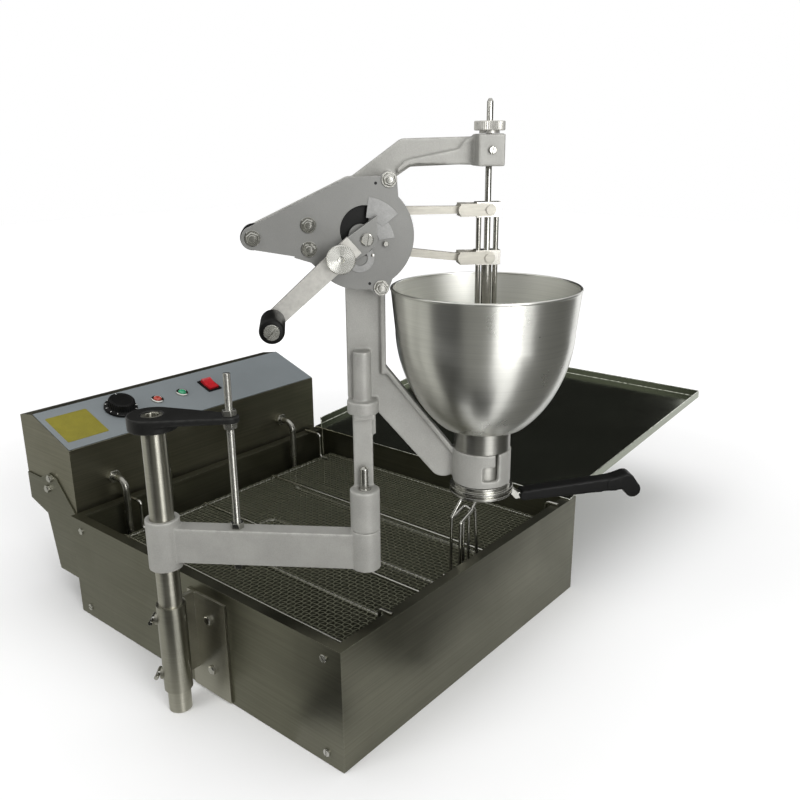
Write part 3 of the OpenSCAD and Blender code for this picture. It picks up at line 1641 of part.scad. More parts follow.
// Ring on the nozzle with the tang of the steering handle
module steering_ring() {
    tang = steer_root + 30 * [cos(steer_slope), sin(steer_slope)];
    lip = 2.6;
    color([0.8, 0.8, 0.77])
    at_elbow()
        difference() {
            union() {
                bar_z(hopper_u, 0, steer_r - 3.5, steer_z, steer_z + steer_h);
                for (z = [steer_z, steer_z + 5.4]) bar_z(hopper_u, 0, steer_r, z, z + lip);
                link_y([hopper_u + steer_r - 5, steer_z + 4], 3.5, steer_root, 3.5, -5, 5);
                link_y(steer_root, 3.5, tang, 3, -5, 5);
            }
            bar_z(hopper_u, 0, nozzle_out + snug_gap, steer_z - 20, steer_z + steer_h + hair);
        }
}

// Black handle with a drooping end
module steering_handle() {
    dir = [cos(steer_slope), sin(steer_slope)];
    start = steer_root + 8 * dir;
    neck = steer_root + (steer_len - steer_r - 35) * dir;
    crown = neck + [14, 3];
    tip = neck + [21, -7];
    tang_end = steer_root + 31 * dir;
    color([0.05, 0.05, 0.05])
    at_elbow()
        difference() {
            union() {
                link_y(start, 5.5, neck, 7.5, -8, 8);
                link_y(neck, 7.5, crown, 8.5, -9, 9);
                link_y(crown, 8.5, tip, 8.5, -9.5, 9.5);
            }
            link_y(steer_root, 3.5 + seat_gap, tang_end, 3 + seat_gap, -5 - seat_gap, 5 + seat_gap);
        }
}

tank_casing();
side_panels();
panel_screws();
oil_pan();
base_plate();
rear_bracket();
bracket_bolts();
head_shell();
control_facia();
lamp_bezels();
red_lamp();
green_lamp();
switch_frame();
switch_rocker();
thermostat_body();
thermostat_knob();
thermostat_probe();
terminal_block();
cable_gland();
heating_tube();
heater_glands();
screen_frame();
screen_net();
screen_hangers();
screen_handle();
drain_tray();
tray_brackets();
post_sleeve();
upper_clamp_screw();
lower_clamp_screw();
post();
mast_cap();
cap_nuts();
swing_arm();
lifting_rod();
arm_nuts();
elbow_pin();
stand();
depositor_casting();
front_plate();
housing_bolts();
tail_roller();
crank_shaft();
upper_cam();
lower_cam();
crank_arm();
grip_bolt();
crank_grip();
stroke_knob();
upper_lever();
lower_lever();
guide_spindle();
guide_knob();
piston_rods();
piston();
cutter_tube();
hopper();
nozzle();
steering_ring();
steering_handle();
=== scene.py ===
# %% [markdown]
# # A hand-cranked donut depositor over its fryer
# The machine is a steel oil tank with a woven screen, a sloped control head, a drain tray at its
# right and a batter depositor on a jointed arm. The solids come from CAD and already stand in the
# right place. This lesson dresses them: the light, the finishes, the rounded castings, the woven
# wire and the small fasteners. The scene is in metres, sizes on the machine are written in
# millimetres, and all pieces share the frame of the CAD solids.

# %% Load the solids
import json
import math

import bmesh
import bpy
import numpy as np
from mathutils import Matrix, Vector


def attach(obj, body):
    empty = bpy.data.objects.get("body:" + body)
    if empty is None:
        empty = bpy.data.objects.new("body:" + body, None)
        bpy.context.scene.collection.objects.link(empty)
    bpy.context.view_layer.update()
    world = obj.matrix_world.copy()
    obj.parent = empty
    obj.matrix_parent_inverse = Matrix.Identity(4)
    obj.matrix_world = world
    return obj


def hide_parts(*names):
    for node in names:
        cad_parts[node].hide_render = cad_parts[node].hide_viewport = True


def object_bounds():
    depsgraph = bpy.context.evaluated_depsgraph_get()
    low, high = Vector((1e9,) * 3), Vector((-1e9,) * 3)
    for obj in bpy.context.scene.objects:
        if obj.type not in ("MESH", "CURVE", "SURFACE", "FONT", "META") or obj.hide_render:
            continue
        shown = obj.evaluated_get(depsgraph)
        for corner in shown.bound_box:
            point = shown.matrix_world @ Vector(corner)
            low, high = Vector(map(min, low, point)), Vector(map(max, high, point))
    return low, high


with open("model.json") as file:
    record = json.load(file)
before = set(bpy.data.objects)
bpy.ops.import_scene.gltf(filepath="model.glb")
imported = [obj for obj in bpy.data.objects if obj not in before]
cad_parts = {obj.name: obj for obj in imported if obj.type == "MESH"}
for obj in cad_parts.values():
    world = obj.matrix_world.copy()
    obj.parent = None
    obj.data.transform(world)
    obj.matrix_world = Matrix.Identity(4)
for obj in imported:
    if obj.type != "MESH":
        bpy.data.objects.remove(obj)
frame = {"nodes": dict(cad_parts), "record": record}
cad_low, cad_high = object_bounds()
scene = bpy.context.scene
cad_size = [round(b - a, 3) for a, b in zip(cad_low, cad_high)]
print("solids:", len(frame["nodes"]), "size", cad_size)

# %% [markdown]
# ## Camera
# The photograph was taken from the machine's front left corner, a little above the hopper. A camera
# could be set by eye, but it would then be a little off. So the place and the lens were worked out
# from the tank's straight edges. Angles are in radians.

# %% Camera
CAMERA_PLACE = Vector((-0.74412, -0.74449, 0.62537))
CAMERA_AZIMUTH = 0.879626
CAMERA_DIP = 0.304337
CAMERA_ROLL = -0.0070064
CAMERA_LENS = 37.336
SENSOR_WIDTH = 36


def photo_camera():
    look = Vector((
        math.sin(CAMERA_AZIMUTH) * math.cos(CAMERA_DIP),
        math.cos(CAMERA_AZIMUTH) * math.cos(CAMERA_DIP),
        -math.sin(CAMERA_DIP),
    ))
    right = Vector((math.cos(CAMERA_AZIMUTH), -math.sin(CAMERA_AZIMUTH), 0))
    up = right.cross(look)
    c, s = math.cos(CAMERA_ROLL), math.sin(CAMERA_ROLL)
    right, up = c * right + s * up, c * up - s * right
    data = bpy.data.cameras.new("photo_camera")
    data.sensor_width = SENSOR_WIDTH
    data.lens = CAMERA_LENS
    data.clip_start = 0.05
    camera = bpy.data.objects.new("photo_camera", data)
    stance = Matrix((right, up, -look)).transposed().to_4x4()
    camera.matrix_world = Matrix.Translation(CAMERA_PLACE) @ stance
    scene.collection.objects.link(camera)
    scene.camera = camera
    return camera


print("camera at", [round(v, 3) for v in photo_camera().location])

# %% [markdown]
# ## Node helpers
# The world, the finishes and the Geometry Nodes trees are all made the same way: add a node, set
# it, and give each socket a value or a link. These helpers do that in one line each, and a last one
# starts a material from its main shader.

# %% Node helpers
def feed(tree, socket, value):
    if isinstance(value, bpy.types.NodeSocket):
        tree.links.new(value, socket)
    else:
        socket.default_value = value


def put(tree, kind, feeds=None, **settings):
    node = tree.nodes.new(kind)
    for key, value in settings.items():
        setattr(node, key, value)
    for key, value in (feeds or {}).items():
        feed(tree, node.inputs[key], value)
    return node


def out(tree, kind, feeds=None, **settings):
    return put(tree, kind, feeds, **settings).outputs[0]


def calc(tree, operation, *values):
    return out(tree, "ShaderNodeMath", dict(enumerate(values)), operation=operation)


def new_material(name, values):
    material = bpy.data.materials.new(name)
    material.use_nodes = True
    tree = material.node_tree
    shader = tree.nodes["Principled BSDF"]
    for label, value in values.items():
        feed(tree, shader.inputs[label], value)
    return material, tree, shader.inputs


print("node helpers ready")

# %% [markdown]
# ## Studio
# Bright metal looks like what it reflects. A picture of a room could light it, but lamps can stand
# just where the highlights on the post and the hopper say a window was: one in front, a weaker one
# at the left, and one overhead that only lights and is not mirrored. The surroundings look white to
# the camera and to reflections, and light the machine more weakly than they look.

# %% Room and windows
scene.view_settings.view_transform = "Standard"
WORLD_FILL = 0.55
WHITE = (1, 1, 1, 1)


def rays_that_look(tree):
    rays = put(tree, "ShaderNodeLightPath").outputs
    seen = rays["Is Camera Ray"]
    for label in ("Is Glossy Ray", "Is Transmission Ray"):
        seen = calc(tree, "MAXIMUM", seen, rays[label])
    return seen


def white_room():
    world = bpy.data.worlds.new("white_room")
    scene.world = world
    world.use_nodes = True
    tree = world.node_tree
    tree.nodes.clear()
    level = out(tree, "ShaderNodeMapRange", {"Value": rays_that_look(tree), "To Min": WORLD_FILL})
    glow = out(tree, "ShaderNodeBackground", {"Color": WHITE, "Strength": level})
    put(tree, "ShaderNodeOutputWorld", {"Surface": glow})


def window_light(name, place, aim, width, height, power, mirrored=True):
    data = bpy.data.lights.new(name, "AREA")
    data.shape = "RECTANGLE"
    data.size = width
    data.size_y = height
    data.energy = power
    lamp = bpy.data.objects.new(name, data)
    lamp.location = place
    lamp.visible_glossy = mirrored
    lamp.rotation_euler = (Vector(aim) - Vector(place)).to_track_quat("-Z", "Y").to_euler()
    scene.collection.objects.link(lamp)


white_room()
window_light("front_window", (-0.85, -2.24, 1.1), (0, 0, 0.3), 0.9, 1.6, 31)
window_light("left_window", (-2.4, 0.5, 1.5), (0, 0, 0.3), 1.2, 1.2, 18)
window_light("overhead", (0.3, 0.1, 2.6), (0.1, 0, 0.2), 2.6, 2.6, 28, mirrored=False)

# %% [markdown]
# ## Floor
# The photo's background is plain white. A shadow catcher needs a transparent film behind it, so a
# real floor keeps the soft shadow near the machine. Farther out it glows a little, and so fades
# into the white room without an edge.

# %% Floor
FLOOR_REACH = 6.0
FLOOR_GAP = 0.0005
FLOOR_GLOW = 0.46
GLOW_FROM, GLOW_FULL = 0.5, 2.0


def pale_floor():
    mesh = bpy.data.meshes.new("floor")
    corners = [(-1, -1), (1, -1), (1, 1), (-1, 1)]
    points = [(x * FLOOR_REACH, y * FLOOR_REACH, 0) for x, y in corners]
    mesh.from_pydata(points, [], [(0, 1, 2, 3)])
    floor = bpy.data.objects.new("floor", mesh)
    floor.location.z = cad_low.z - FLOOR_GAP
    scene.collection.objects.link(floor)
    paint, tree, sockets = new_material("floor_white", {
        "Base Color": (0.93, 0.93, 0.93, 1), "Roughness": 0.8, "Specular IOR Level": 0.1,
        "Emission Color": WHITE,
    })
    place = put(tree, "ShaderNodeTexCoord").outputs["Object"]
    away = put(tree, "ShaderNodeVectorMath", {0: place}, operation="LENGTH").outputs["Value"]
    far = out(tree, "ShaderNodeMapRange", {
        "Value": away, "From Min": GLOW_FROM, "From Max": GLOW_FULL, "To Max": FLOOR_GLOW,
    }, interpolation_type="SMOOTHSTEP")
    feed(tree, sockets["Emission Strength"], calc(tree, "MULTIPLY", rays_that_look(tree), far))
    mesh.materials.append(paint)
    return floor


print("floor at", round(pale_floor().location.z, 4))

# %% [markdown]
# ## Grey cards
# In a white room polished metal would be white all over. Dark bands could be painted into the
# finish, but they would stay in place when the machine turns. So curved cards stand round the
# hopper, as flags do in a product studio. Each one lies on the floor from a near to a far radius
# and then stands up. Only reflections see them, and they cast no shadow.

# %% Grey cards
CARD_CENTRE = Vector((-0.067, -0.294, 0.001))
CARD_STEPS = 16
CARD_WARMTH = 0.93
CARDS = [  # name, start and end in degrees, near and far radius, height, tone
    ("left_pale_card", 98, 146, 0.2, 1.3, 1.3, 0.58),
    ("left_dark_card", 146, 187, 0.25, 1.3, 1.3, 0.03),
    ("left_grey_card", 187, 225, 0.45, 1.3, 1.3, 0.22),
    ("belly_card", 187, 234, 0.1, 0.45, 0, 0.03),
    ("right_floor_card", 258, 345, 0.02, 1.3, 0, 0.14),
    ("right_grey_card", 272, 345, 1.3, 1.3, 1.3, 0.12),
    ("back_dark_card", 12, 88, 1.3, 1.3, 1.6, 0.03),
]


def grey_card(name, start, end, near, far, height, tone):
    points, faces = [], []
    for k in range(CARD_STEPS + 1):
        angle = math.radians(start + (end - start) * k / CARD_STEPS)
        ray = Vector((math.cos(angle), math.sin(angle), 0))
        points += [ray * near, ray * far, ray * far + Vector((0, 0, height))]
    for k in range(0, 3 * CARD_STEPS, 3):
        if far > near:
            faces.append((k, k + 1, k + 4, k + 3))
        if height:
            faces.append((k + 1, k + 2, k + 5, k + 4))
    mesh = bpy.data.meshes.new(name)
    mesh.from_pydata(points, [], faces)
    card = bpy.data.objects.new(name, mesh)
    card.location = CARD_CENTRE
    for kind in ("camera", "diffuse", "transmission", "shadow"):
        setattr(card, "visible_" + kind, False)
    scene.collection.objects.link(card)
    felt, _, _ = new_material(name, {
        "Base Color": (0, 0, 0, 1), "Specular IOR Level": 0,
        "Emission Color": (tone, tone, CARD_WARMTH * tone, 1), "Emission Strength": 1,
    })
    mesh.materials.append(felt)


for row in CARDS:
    grey_card(*row)
print("cards:", len(CARDS))

# %% [markdown]
# ## Shared surface effects
# Brushed sheet, sand-cast grain, hand marks and rubbed edges appear on many pieces. Each could be
# built again in every material. As a node group it is built once: it puts out masks and heights,
# and each finish feeds it its own coordinates and strengths.

# %% Effect groups
def effect_group(name, sizes, outputs):
    group = bpy.data.node_groups.new(name, "ShaderNodeTree")
    sockets = group.interface
    sockets.new_socket("Vector", in_out="INPUT", socket_type="NodeSocketVector")
    for label, value in sizes.items():
        size = sockets.new_socket(label, in_out="INPUT", socket_type="NodeSocketFloat")
        size.default_value = value
    for label in outputs:
        sockets.new_socket(label, in_out="OUTPUT", socket_type="NodeSocketFloat")
    return group, put(group, "NodeGroupInput").outputs, put(group, "NodeGroupOutput").inputs


def cloud(group, given, scale, detail, **more):
    feeds = {"Vector": given["Vector"], "Scale": given[scale], "Detail": detail, **more}
    return put(group, "ShaderNodeTexNoise", feeds).outputs["Fac"]


def spread(group, value, low, high):
    return out(group, "ShaderNodeMapRange", {"Value": value, "From Min": low, "From Max": high})


def brushing_group():
    group, given, results = effect_group("brushing", {"Fineness": 1.0}, ["Tone", "Height"])
    lines = cloud(group, given, "Fineness", 4.0, Roughness=0.65)
    feed(group, results["Tone"], spread(group, lines, 0.3, 0.7))
    feed(group, results["Height"], lines)
    return group


def cast_grain_group():
    sizes = {"Grain": 900.0, "Blotch": 26.0}
    group, given, results = effect_group("cast_grain", sizes, ["Tone", "Height"])
    grain = cloud(group, given, "Grain", 2.0)
    blotch = cloud(group, given, "Blotch", 5.0, Roughness=0.6)
    fine, broad = calc(group, "MULTIPLY", grain, 0.35), calc(group, "MULTIPLY", blotch, 0.65)
    feed(group, results["Tone"], spread(group, calc(group, "ADD", fine, broad), 0.33, 0.67))
    feed(group, results["Height"], grain)
    return group


def hand_marks_group():
    group, given, results = effect_group("hand_marks", {"Scale": 12.0}, ["Mask"])
    smears = cloud(group, given, "Scale", 6.0, Roughness=0.62, Distortion=0.4)
    feed(group, results["Mask"], spread(group, smears, 0.36, 0.66))
    return group


def rubbed_edge_group():
    group, given, results = effect_group("rubbed_edge", {"Edge": 0.0, "Scale": 160.0}, ["Mask"])
    breaks = spread(group, cloud(group, given, "Scale", 3.0), 0.3, 0.6)
    feed(group, results["Mask"], calc(group, "MULTIPLY", given["Edge"], breaks))
    return group


MAKERS = (brushing_group, cast_grain_group, hand_marks_group, rubbed_edge_group)
EFFECTS = {group.name: group for group in (make() for make in MAKERS)}
print("effects:", sorted(EFFECTS))

# %% [markdown]
# ## Finishes
# Nearly everything here is bare metal, and the finishes differ in how they were worked: rolled and
# brushed sheet, drawn tube, spun bowl, sand-cast aluminium, milled plate. Painted textures would
# need every piece unwrapped, so noise in object coordinates does the work. Each finish mixes a
# darker and a lighter tone of its colour, lets roughness drift with hand marks, and takes its fine
# relief from a bump. Worked lines also stretch the highlights. A spun finish runs them along the
# lathe's UV map, so only lathed pieces use it, and an upright one runs them along the frame's
# height.

# %% Finish maker
BUMP_DEPTH = 0.001
LENS_MARKS, LENS_ROUGH = 220.0, (0.08, 0.18)


def effect(tree, name, **feeds):
    return put(tree, "ShaderNodeGroup", feeds, node_tree=EFFECTS[name]).outputs


def tone_mix(tree, factor, dark, light):
    feeds = {0: factor, 6: dark, 7: light}
    return put(tree, "ShaderNodeMix", feeds, data_type="RGBA").outputs[2]


def shade(colour, amount):
    return (*[min(1.0, c * amount) for c in colour], 1.0)


def rough_range(tree, mask, rough):
    return out(tree, "ShaderNodeMapRange", {"Value": mask, "To Min": rough[0], "To Max": rough[1]})


def finish_metal(name, colour, rough, stretch, contrast=0.12, relief=0.02, metallic=1.0, edge=0.0,
                 marks=12.0, gloss=0.5, spun=0.0, upright=False, matt=0.0):
    material, tree, sockets = new_material(name, {
        "Metallic": metallic, "Specular IOR Level": gloss, "Anisotropic": spun,
    })
    if upright:
        feed(tree, sockets["Tangent"], out(tree, "ShaderNodeCombineXYZ", {"Z": 1.0}))
    elif spun:
        way = out(tree, "ShaderNodeTangent", direction_type="UV_MAP", uv_map="turned")
        feed(tree, sockets["Tangent"], way)
    place = put(tree, "ShaderNodeTexCoord").outputs["Object"]
    if len(stretch) == 3:
        lines = out(tree, "ShaderNodeMapping", {"Vector": place, "Scale": stretch})
        work = effect(tree, "brushing", Vector=lines)
    else:
        work = effect(tree, "cast_grain", Vector=place, Grain=stretch[0], Blotch=stretch[1])
    tone = tone_mix(tree, work["Tone"], shade(colour, 1 - contrast), shade(colour, 1 + contrast))
    if edge:
        seam = put(tree, "ShaderNodeAttribute", attribute_name="edge").outputs["Fac"]
        rubbed = effect(tree, "rubbed_edge", Vector=place, Edge=seam)["Mask"]
        tone = tone_mix(tree, rubbed, tone, shade(colour, 1 + edge))
    feed(tree, sockets["Base Color"], tone)
    smear = effect(tree, "hand_marks", Vector=place, Scale=marks)["Mask"]
    level = rough_range(tree, smear, rough)
    if matt:
        inside = put(tree, "ShaderNodeAttribute", attribute_name="inside").outputs["Fac"]
        level = calc(tree, "MULTIPLY_ADD", inside, matt, level)
    feed(tree, sockets["Roughness"], level)
    bump = {"Height": work["Height"], "Strength": relief, "Distance": BUMP_DEPTH}
    feed(tree, sockets["Normal"], out(tree, "ShaderNodeBump", bump))
    return material


def finish_lens(name, colour, deep):
    material, tree, sockets = new_material(name, {"Coat Weight": 0.6})
    place = put(tree, "ShaderNodeTexCoord").outputs["Object"]
    mask = effect(tree, "hand_marks", Vector=place, Scale=LENS_MARKS)["Mask"]
    feed(tree, sockets["Base Color"], tone_mix(tree, mask, (*deep, 1), (*colour, 1)))
    feed(tree, sockets["Roughness"], rough_range(tree, mask, LENS_ROUGH))
    return material


print("finish makers: metal and lens")

# %% [markdown]
# ## The machine's finishes
# Each row gives a finish its colour and the range of its roughness. Three numbers after that
# stretch brushed lines along the axes, and two set the size of cast grain and of its blotches. The
# rest of a row is what differs from plain brushed steel.

# %% Finishes of the machine
FINE_LINES = (4, 4, 620)
METALS = [
    ("dark_stainless", (0.15, 0.148, 0.11), (0.3, 0.42), (5, 5, 420), dict(edge=0.8)),
    # The head shell's finish is the tank's dark stainless, rougher, and lighter in colour as painted
    # reflected light on the head's front.
    ("head_stainless", (0.2, 0.193, 0.143), (0.34, 0.46), (5, 5, 420), dict(edge=0.8)),
    ("tray_stainless", (0.27, 0.29, 0.23), (0.14, 0.22), (4, 260, 260), dict(edge=3.0)),
    ("bright_steel", (0.46, 0.455, 0.42), (0.16, 0.3), (300, 300, 300), dict(contrast=0.1)),
    ("polished_steel", (0.16, 0.155, 0.13), (0.12, 0.2), (5, 5, 260), dict(contrast=0.08)),
    ("machined_steel", (0.5, 0.49, 0.455), (0.3, 0.42), (180, 180, 180),
     dict(edge=0.4, metallic=0.5)),
    ("ivory_steel", (0.44, 0.422, 0.368), (0.3, 0.42), (60, 60, 400),
     dict(edge=0.25, metallic=0.3)),
    ("heater_steel", (0.34, 0.335, 0.3), (0.2, 0.32), (120, 120, 120), dict(contrast=0.16)),
    ("net_steel", (0.17, 0.173, 0.122), (0.42, 0.55), (200, 200, 200),
     dict(contrast=0.2, marks=9, metallic=0.7)),
    ("spun_stainless", (0.72, 0.72, 0.675), (0.27, 0.35), FINE_LINES,
     dict(contrast=0.06, spun=0.5, matt=0.26)),
    ("turned_steel", (0.72, 0.715, 0.67), (0.2, 0.27), FINE_LINES,
     dict(contrast=0.06, spun=0.75)),
    ("drawn_stainless", (0.34, 0.336, 0.31), (0.33, 0.42), FINE_LINES,
     dict(contrast=0.06, edge=0.5, spun=0.7, upright=True)),
    ("post_stainless", (0.42, 0.41, 0.352), (0.3, 0.38), FINE_LINES,
     dict(contrast=0.08, edge=0.5, spun=0.9, upright=True)),
    ("sleeve_stainless", (0.35, 0.342, 0.29), (0.3, 0.38), FINE_LINES,
     dict(contrast=0.08, edge=0.8, spun=0.9, upright=True)),
    ("rod_steel", (0.46, 0.448, 0.41), (0.14, 0.22), (180, 180, 180), dict(contrast=0.08)),
    ("chrome", (0.66, 0.65, 0.61), (0.08, 0.16), (200, 200, 200),
     dict(contrast=0.05, relief=0.01)),
    ("cast_aluminium", (0.3, 0.297, 0.276), (0.45, 0.58), (900, 24),
     dict(contrast=0.14, relief=0.1, metallic=0.25, edge=0.5)),
    ("grey_plate", (0.19, 0.19, 0.18), (0.4, 0.52), (1200, 16),
     dict(contrast=0.1, relief=0.05, metallic=0.3, edge=0.6)),
    ("scale_grey", (0.27, 0.27, 0.262), (0.3, 0.45), (900, 90),
     dict(contrast=0.16, relief=0.03, metallic=0.4)),
    ("black_metal", (0.007, 0.007, 0.0065), (0.4, 0.55), (900, 40),
     dict(contrast=0.3, relief=0.08, metallic=0.0, edge=3.0, gloss=0.2)),
    ("black_plastic", (0.004, 0.004, 0.0037), (0.34, 0.46), (1400, 30),
     dict(contrast=0.25, relief=0.04, metallic=0.0, edge=1.5, gloss=0.15)),
    ("cream_plastic", (0.7, 0.66, 0.55), (0.4, 0.5), (1000, 30),
     dict(contrast=0.08, relief=0.03, metallic=0.0)),
    ("facia_blue_grey", (0.18, 0.2, 0.208), (0.34, 0.46), (1500, 12),
     dict(contrast=0.06, metallic=0.0, gloss=0.3)),
    ("plate_yellow", (0.19, 0.166, 0.01), (0.4, 0.55), (700, 60),
     dict(relief=0.03, metallic=0.0)),
    ("dial_white", (0.75, 0.75, 0.72), (0.4, 0.5), (900, 40),
     dict(contrast=0.06, metallic=0.0)),
]
LENSES = [
    ("lamp_red", (0.5, 0.07, 0.04), (0.25, 0.02, 0.012)),
    ("lamp_green", (0.05, 0.4, 0.2), (0.01, 0.18, 0.08)),
    ("rocker_red", (0.55, 0.02, 0.03), (0.38, 0.01, 0.014)),
]
FINISH = {name: finish_metal(name, *look, **rest) for name, *look, rest in METALS}
FINISH.update({name: finish_lens(name, *tones) for name, *tones in LENSES})
print("finishes:", len(FINISH))

# %% [markdown]
# ## Finish of each solid
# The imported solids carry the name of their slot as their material. Swapping each one for the finish
# of the same name dresses the whole machine before any piece is rebuilt.

# %% Dress the solids
SLOT_OF = {}
for node_name, solid in frame["nodes"].items():
    slot_name = solid.data.materials[0].name.split(".")[0] if solid.data.materials else ""
    SLOT_OF[node_name] = slot_name
    solid.data.materials.clear()
    solid.data.materials.append(FINISH[slot_name])
BODY_OF = {n: b for b, names in frame["record"]["behaviour"]["bodies"].items() for n in names}
print("slots in use:", sorted(set(SLOT_OF.values())))

# %% [markdown]
# ## Places on the machine
# The depositor, the crank, the hopper, the post and the sloped facia have axes of their own. One
# matrix for each lets the next cells write sizes in millimetres, as a maker would take them on the
# bench.

# %% Places
CRANK_HEIGHT = 540
HOPPER_REACH = 123
FACIA_RISE, FACIA_RUN = 33, 90


def spot(*mm):
    return Vector(mm) / 1000


def turn(degrees, axis):
    return Matrix.Rotation(math.radians(degrees), 4, axis)


def at(place, *mm):
    return place @ Matrix.Translation(spot(*mm))


DEPOSITOR = at(Matrix(), -156.2585, -209.8717, 0) @ turn(-43.4, "Z")
HUB = at(DEPOSITOR, 0, 0, CRANK_HEIGHT)
FRONT = HUB @ turn(90, "X")
CRANK = HUB @ turn(-221.4, "Y") @ turn(90, "X")
HOPPER = at(DEPOSITOR, HOPPER_REACH, 0, 0)
POST = at(Matrix(), -281.5, -29, 0) @ turn(-55.3, "Z")
FACIA = at(Matrix(), 0, 257, 231) @ turn(math.degrees(math.atan2(FACIA_RISE, FACIA_RUN)), "X")
DIAL = at(FACIA, -113, 56, 0)


def facing(place):
    return place.to_3x3() @ Vector((0, 0, 1))


def fit_piece(name, mesh, body, finish, *nodes, slot_name=None):
    mesh.materials.clear()
    mesh.materials.append(FINISH[finish])
    piece = bpy.data.objects.new(name, mesh)
    scene.collection.objects.link(piece)
    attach(piece, body)
    if nodes:
        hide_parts(*nodes)
    return piece


def stand_in(name, mesh, node, finish=None):
    slot_name = SLOT_OF[node]
    return fit_piece(name, mesh, BODY_OF[node], finish or slot_name, node, slot_name=slot_name)


print("hopper axis at", [round(v, 4) for v in HOPPER.translation])

# %% [markdown]
# ## Castings
# The swing arm, the stand and the depositor's frame are sand castings: no edge on them is crisp. A
# bevel breaks down where many ribs and barrels meet, and sculpting would not follow a change of the
# solid. So a copy of the solid is remeshed into small even faces and relaxed, which rounds every
# corner by about as much as the foundry's pattern would. How far each point stands out from its
# neighbours is kept as an attribute, so the finish can brighten the rubbed corners.

# %% Mesh helpers
MERGE_WITHIN = 1e-5


def merged(mesh):
    bm = bmesh.new()
    bm.from_mesh(mesh)
    bmesh.ops.remove_doubles(bm, verts=bm.verts, dist=MERGE_WITHIN)
    return bm


def poured(name, bm):
    mesh = bpy.data.meshes.new(name)
    bm.to_mesh(mesh)
    bm.free()
    return mesh


def joined(name, meshes):
    bm = bmesh.new()
    for mesh in meshes:
        bm.from_mesh(mesh)
    return poured(name, bm)


def held(mesh):
    holder = bpy.data.objects.new("holder", mesh)
    scene.collection.objects.link(holder)
    return holder


def taken(holder):
    done = holder.evaluated_get(bpy.context.evaluated_depsgraph_get())
    mesh = bpy.data.meshes.new_from_object(done)
    bpy.data.objects.remove(holder)
    return mesh


def settled(mesh, steps):
    holder = held(mesh)
    for kind, settings in steps:
        work = holder.modifiers.new(kind.lower(), kind)
        for key, value in settings.items():
            setattr(work, key, value)
    return taken(holder)


print("points in the solids:", sum(len(solid.data.vertices) for solid in frame["nodes"].values()))

# %% Casting copies
CAST_GRAIN = 0.0011
CAST_PASSES = 5
CAST_RATIO = 0.6
CORNER_GAIN = 4.0
CASTINGS = ("swing_arm", "stand", "depositor_casting", "mast_cap", "steering_handle")


def column(source, label, width, kind=float):
    values = np.zeros(len(source) * width, dtype=kind)
    source.foreach_get(label, values)
    return values.reshape(-1, width)


def mark_corners(mesh):
    points, normals = column(mesh.vertices, "co", 3), column(mesh.vertices, "normal", 3)
    ends = column(mesh.edges, "vertices", 2, int)
    bulge, links = np.zeros(len(points)), np.zeros(len(points))
    for a, b in ((0, 1), (1, 0)):
        away = points[ends[:, a]] - points[ends[:, b]]
        length = np.linalg.norm(away, axis=1) + 1e-9
        np.add.at(bulge, ends[:, a], (away * normals[ends[:, a]]).sum(axis=1) / length)
        np.add.at(links, ends[:, a], 1)
    mark = mesh.attributes.new("edge", "FLOAT", "POINT")
    mark.data.foreach_set("value", np.clip(bulge / np.maximum(links, 1) * CORNER_GAIN, 0, 1))


def cast_copy(node):
    mesh = settled(poured(node + "_cast", merged(frame["nodes"][node].data)), [
        ("REMESH", {"mode": "VOXEL", "voxel_size": CAST_GRAIN, "use_smooth_shade": True}),
        ("SMOOTH", {"factor": 0.5, "iterations": CAST_PASSES}),
        ("DECIMATE", {"ratio": CAST_RATIO}),
    ])
    mark_corners(mesh)
    mesh.shade_smooth()
    return stand_in(node + "_cast", mesh, node)


for node in CASTINGS:
    piece = cast_copy(node)
    print(piece.name, len(piece.data.polygons), "faces")

# %% [markdown]
# ## Sheet and machined parts
# Folded sheet and milled bar have small, even edges that catch a thin line of light. Remeshing
# would make their flat faces wavy, so a copy of each solid gets its flat faces joined and a narrow
# bevel. The bevel's faces take a material index of their own. The seams along them are marked
# sharp, so flat faces keep a flat shading, and the index is turned into the edge attribute that the
# finishes read.

# %% Edged copies
FLAT_WITHIN = math.radians(0.6)
BEVEL_OVER = math.radians(38)
SMOOTH_UNDER = math.radians(50)
SHEET_EDGE, BAR_EDGE = 0.0006, 0.0004
EDGES = {
    SHEET_EDGE: (
        "tank_casing", "side_panels", "head_shell", "rear_bracket", "drain_tray", "post_sleeve",
        "tray_brackets",
    ),
    BAR_EDGE: (
        "oil_pan", "control_facia", "switch_frame", "switch_rocker", "front_plate", "upper_lever",
        "lower_lever", "crank_arm", "crank_shaft", "tail_roller", "steering_ring", "piston_rods",
        "nozzle", "elbow_pin", "cap_nuts", "arm_nuts", "heater_glands", "upper_clamp_screw",
        "lower_clamp_screw", "grip_bolt", "post", "guide_spindle", "cutter_tube",
    ),
}
OWN_FINISH = {
    "head_shell": "head_stainless", "nozzle": "drawn_stainless", "piston_rods": "rod_steel",
    "cutter_tube": "rod_steel", "crank_shaft": "grey_plate", "steering_ring": "bright_steel",
    "elbow_pin": "bright_steel", "post": "post_stainless", "post_sleeve": "sleeve_stainless",
}


def part_shading(mesh):
    bm = bmesh.new()
    bm.from_mesh(mesh)
    for seam in bm.edges:
        sides = [f.material_index for f in seam.link_faces]
        same = len(sides) == 2 and sides[0] == sides[1]
        seam.smooth = same and seam.calc_face_angle(0) < SMOOTH_UNDER
    bm.to_mesh(mesh)
    bm.free()


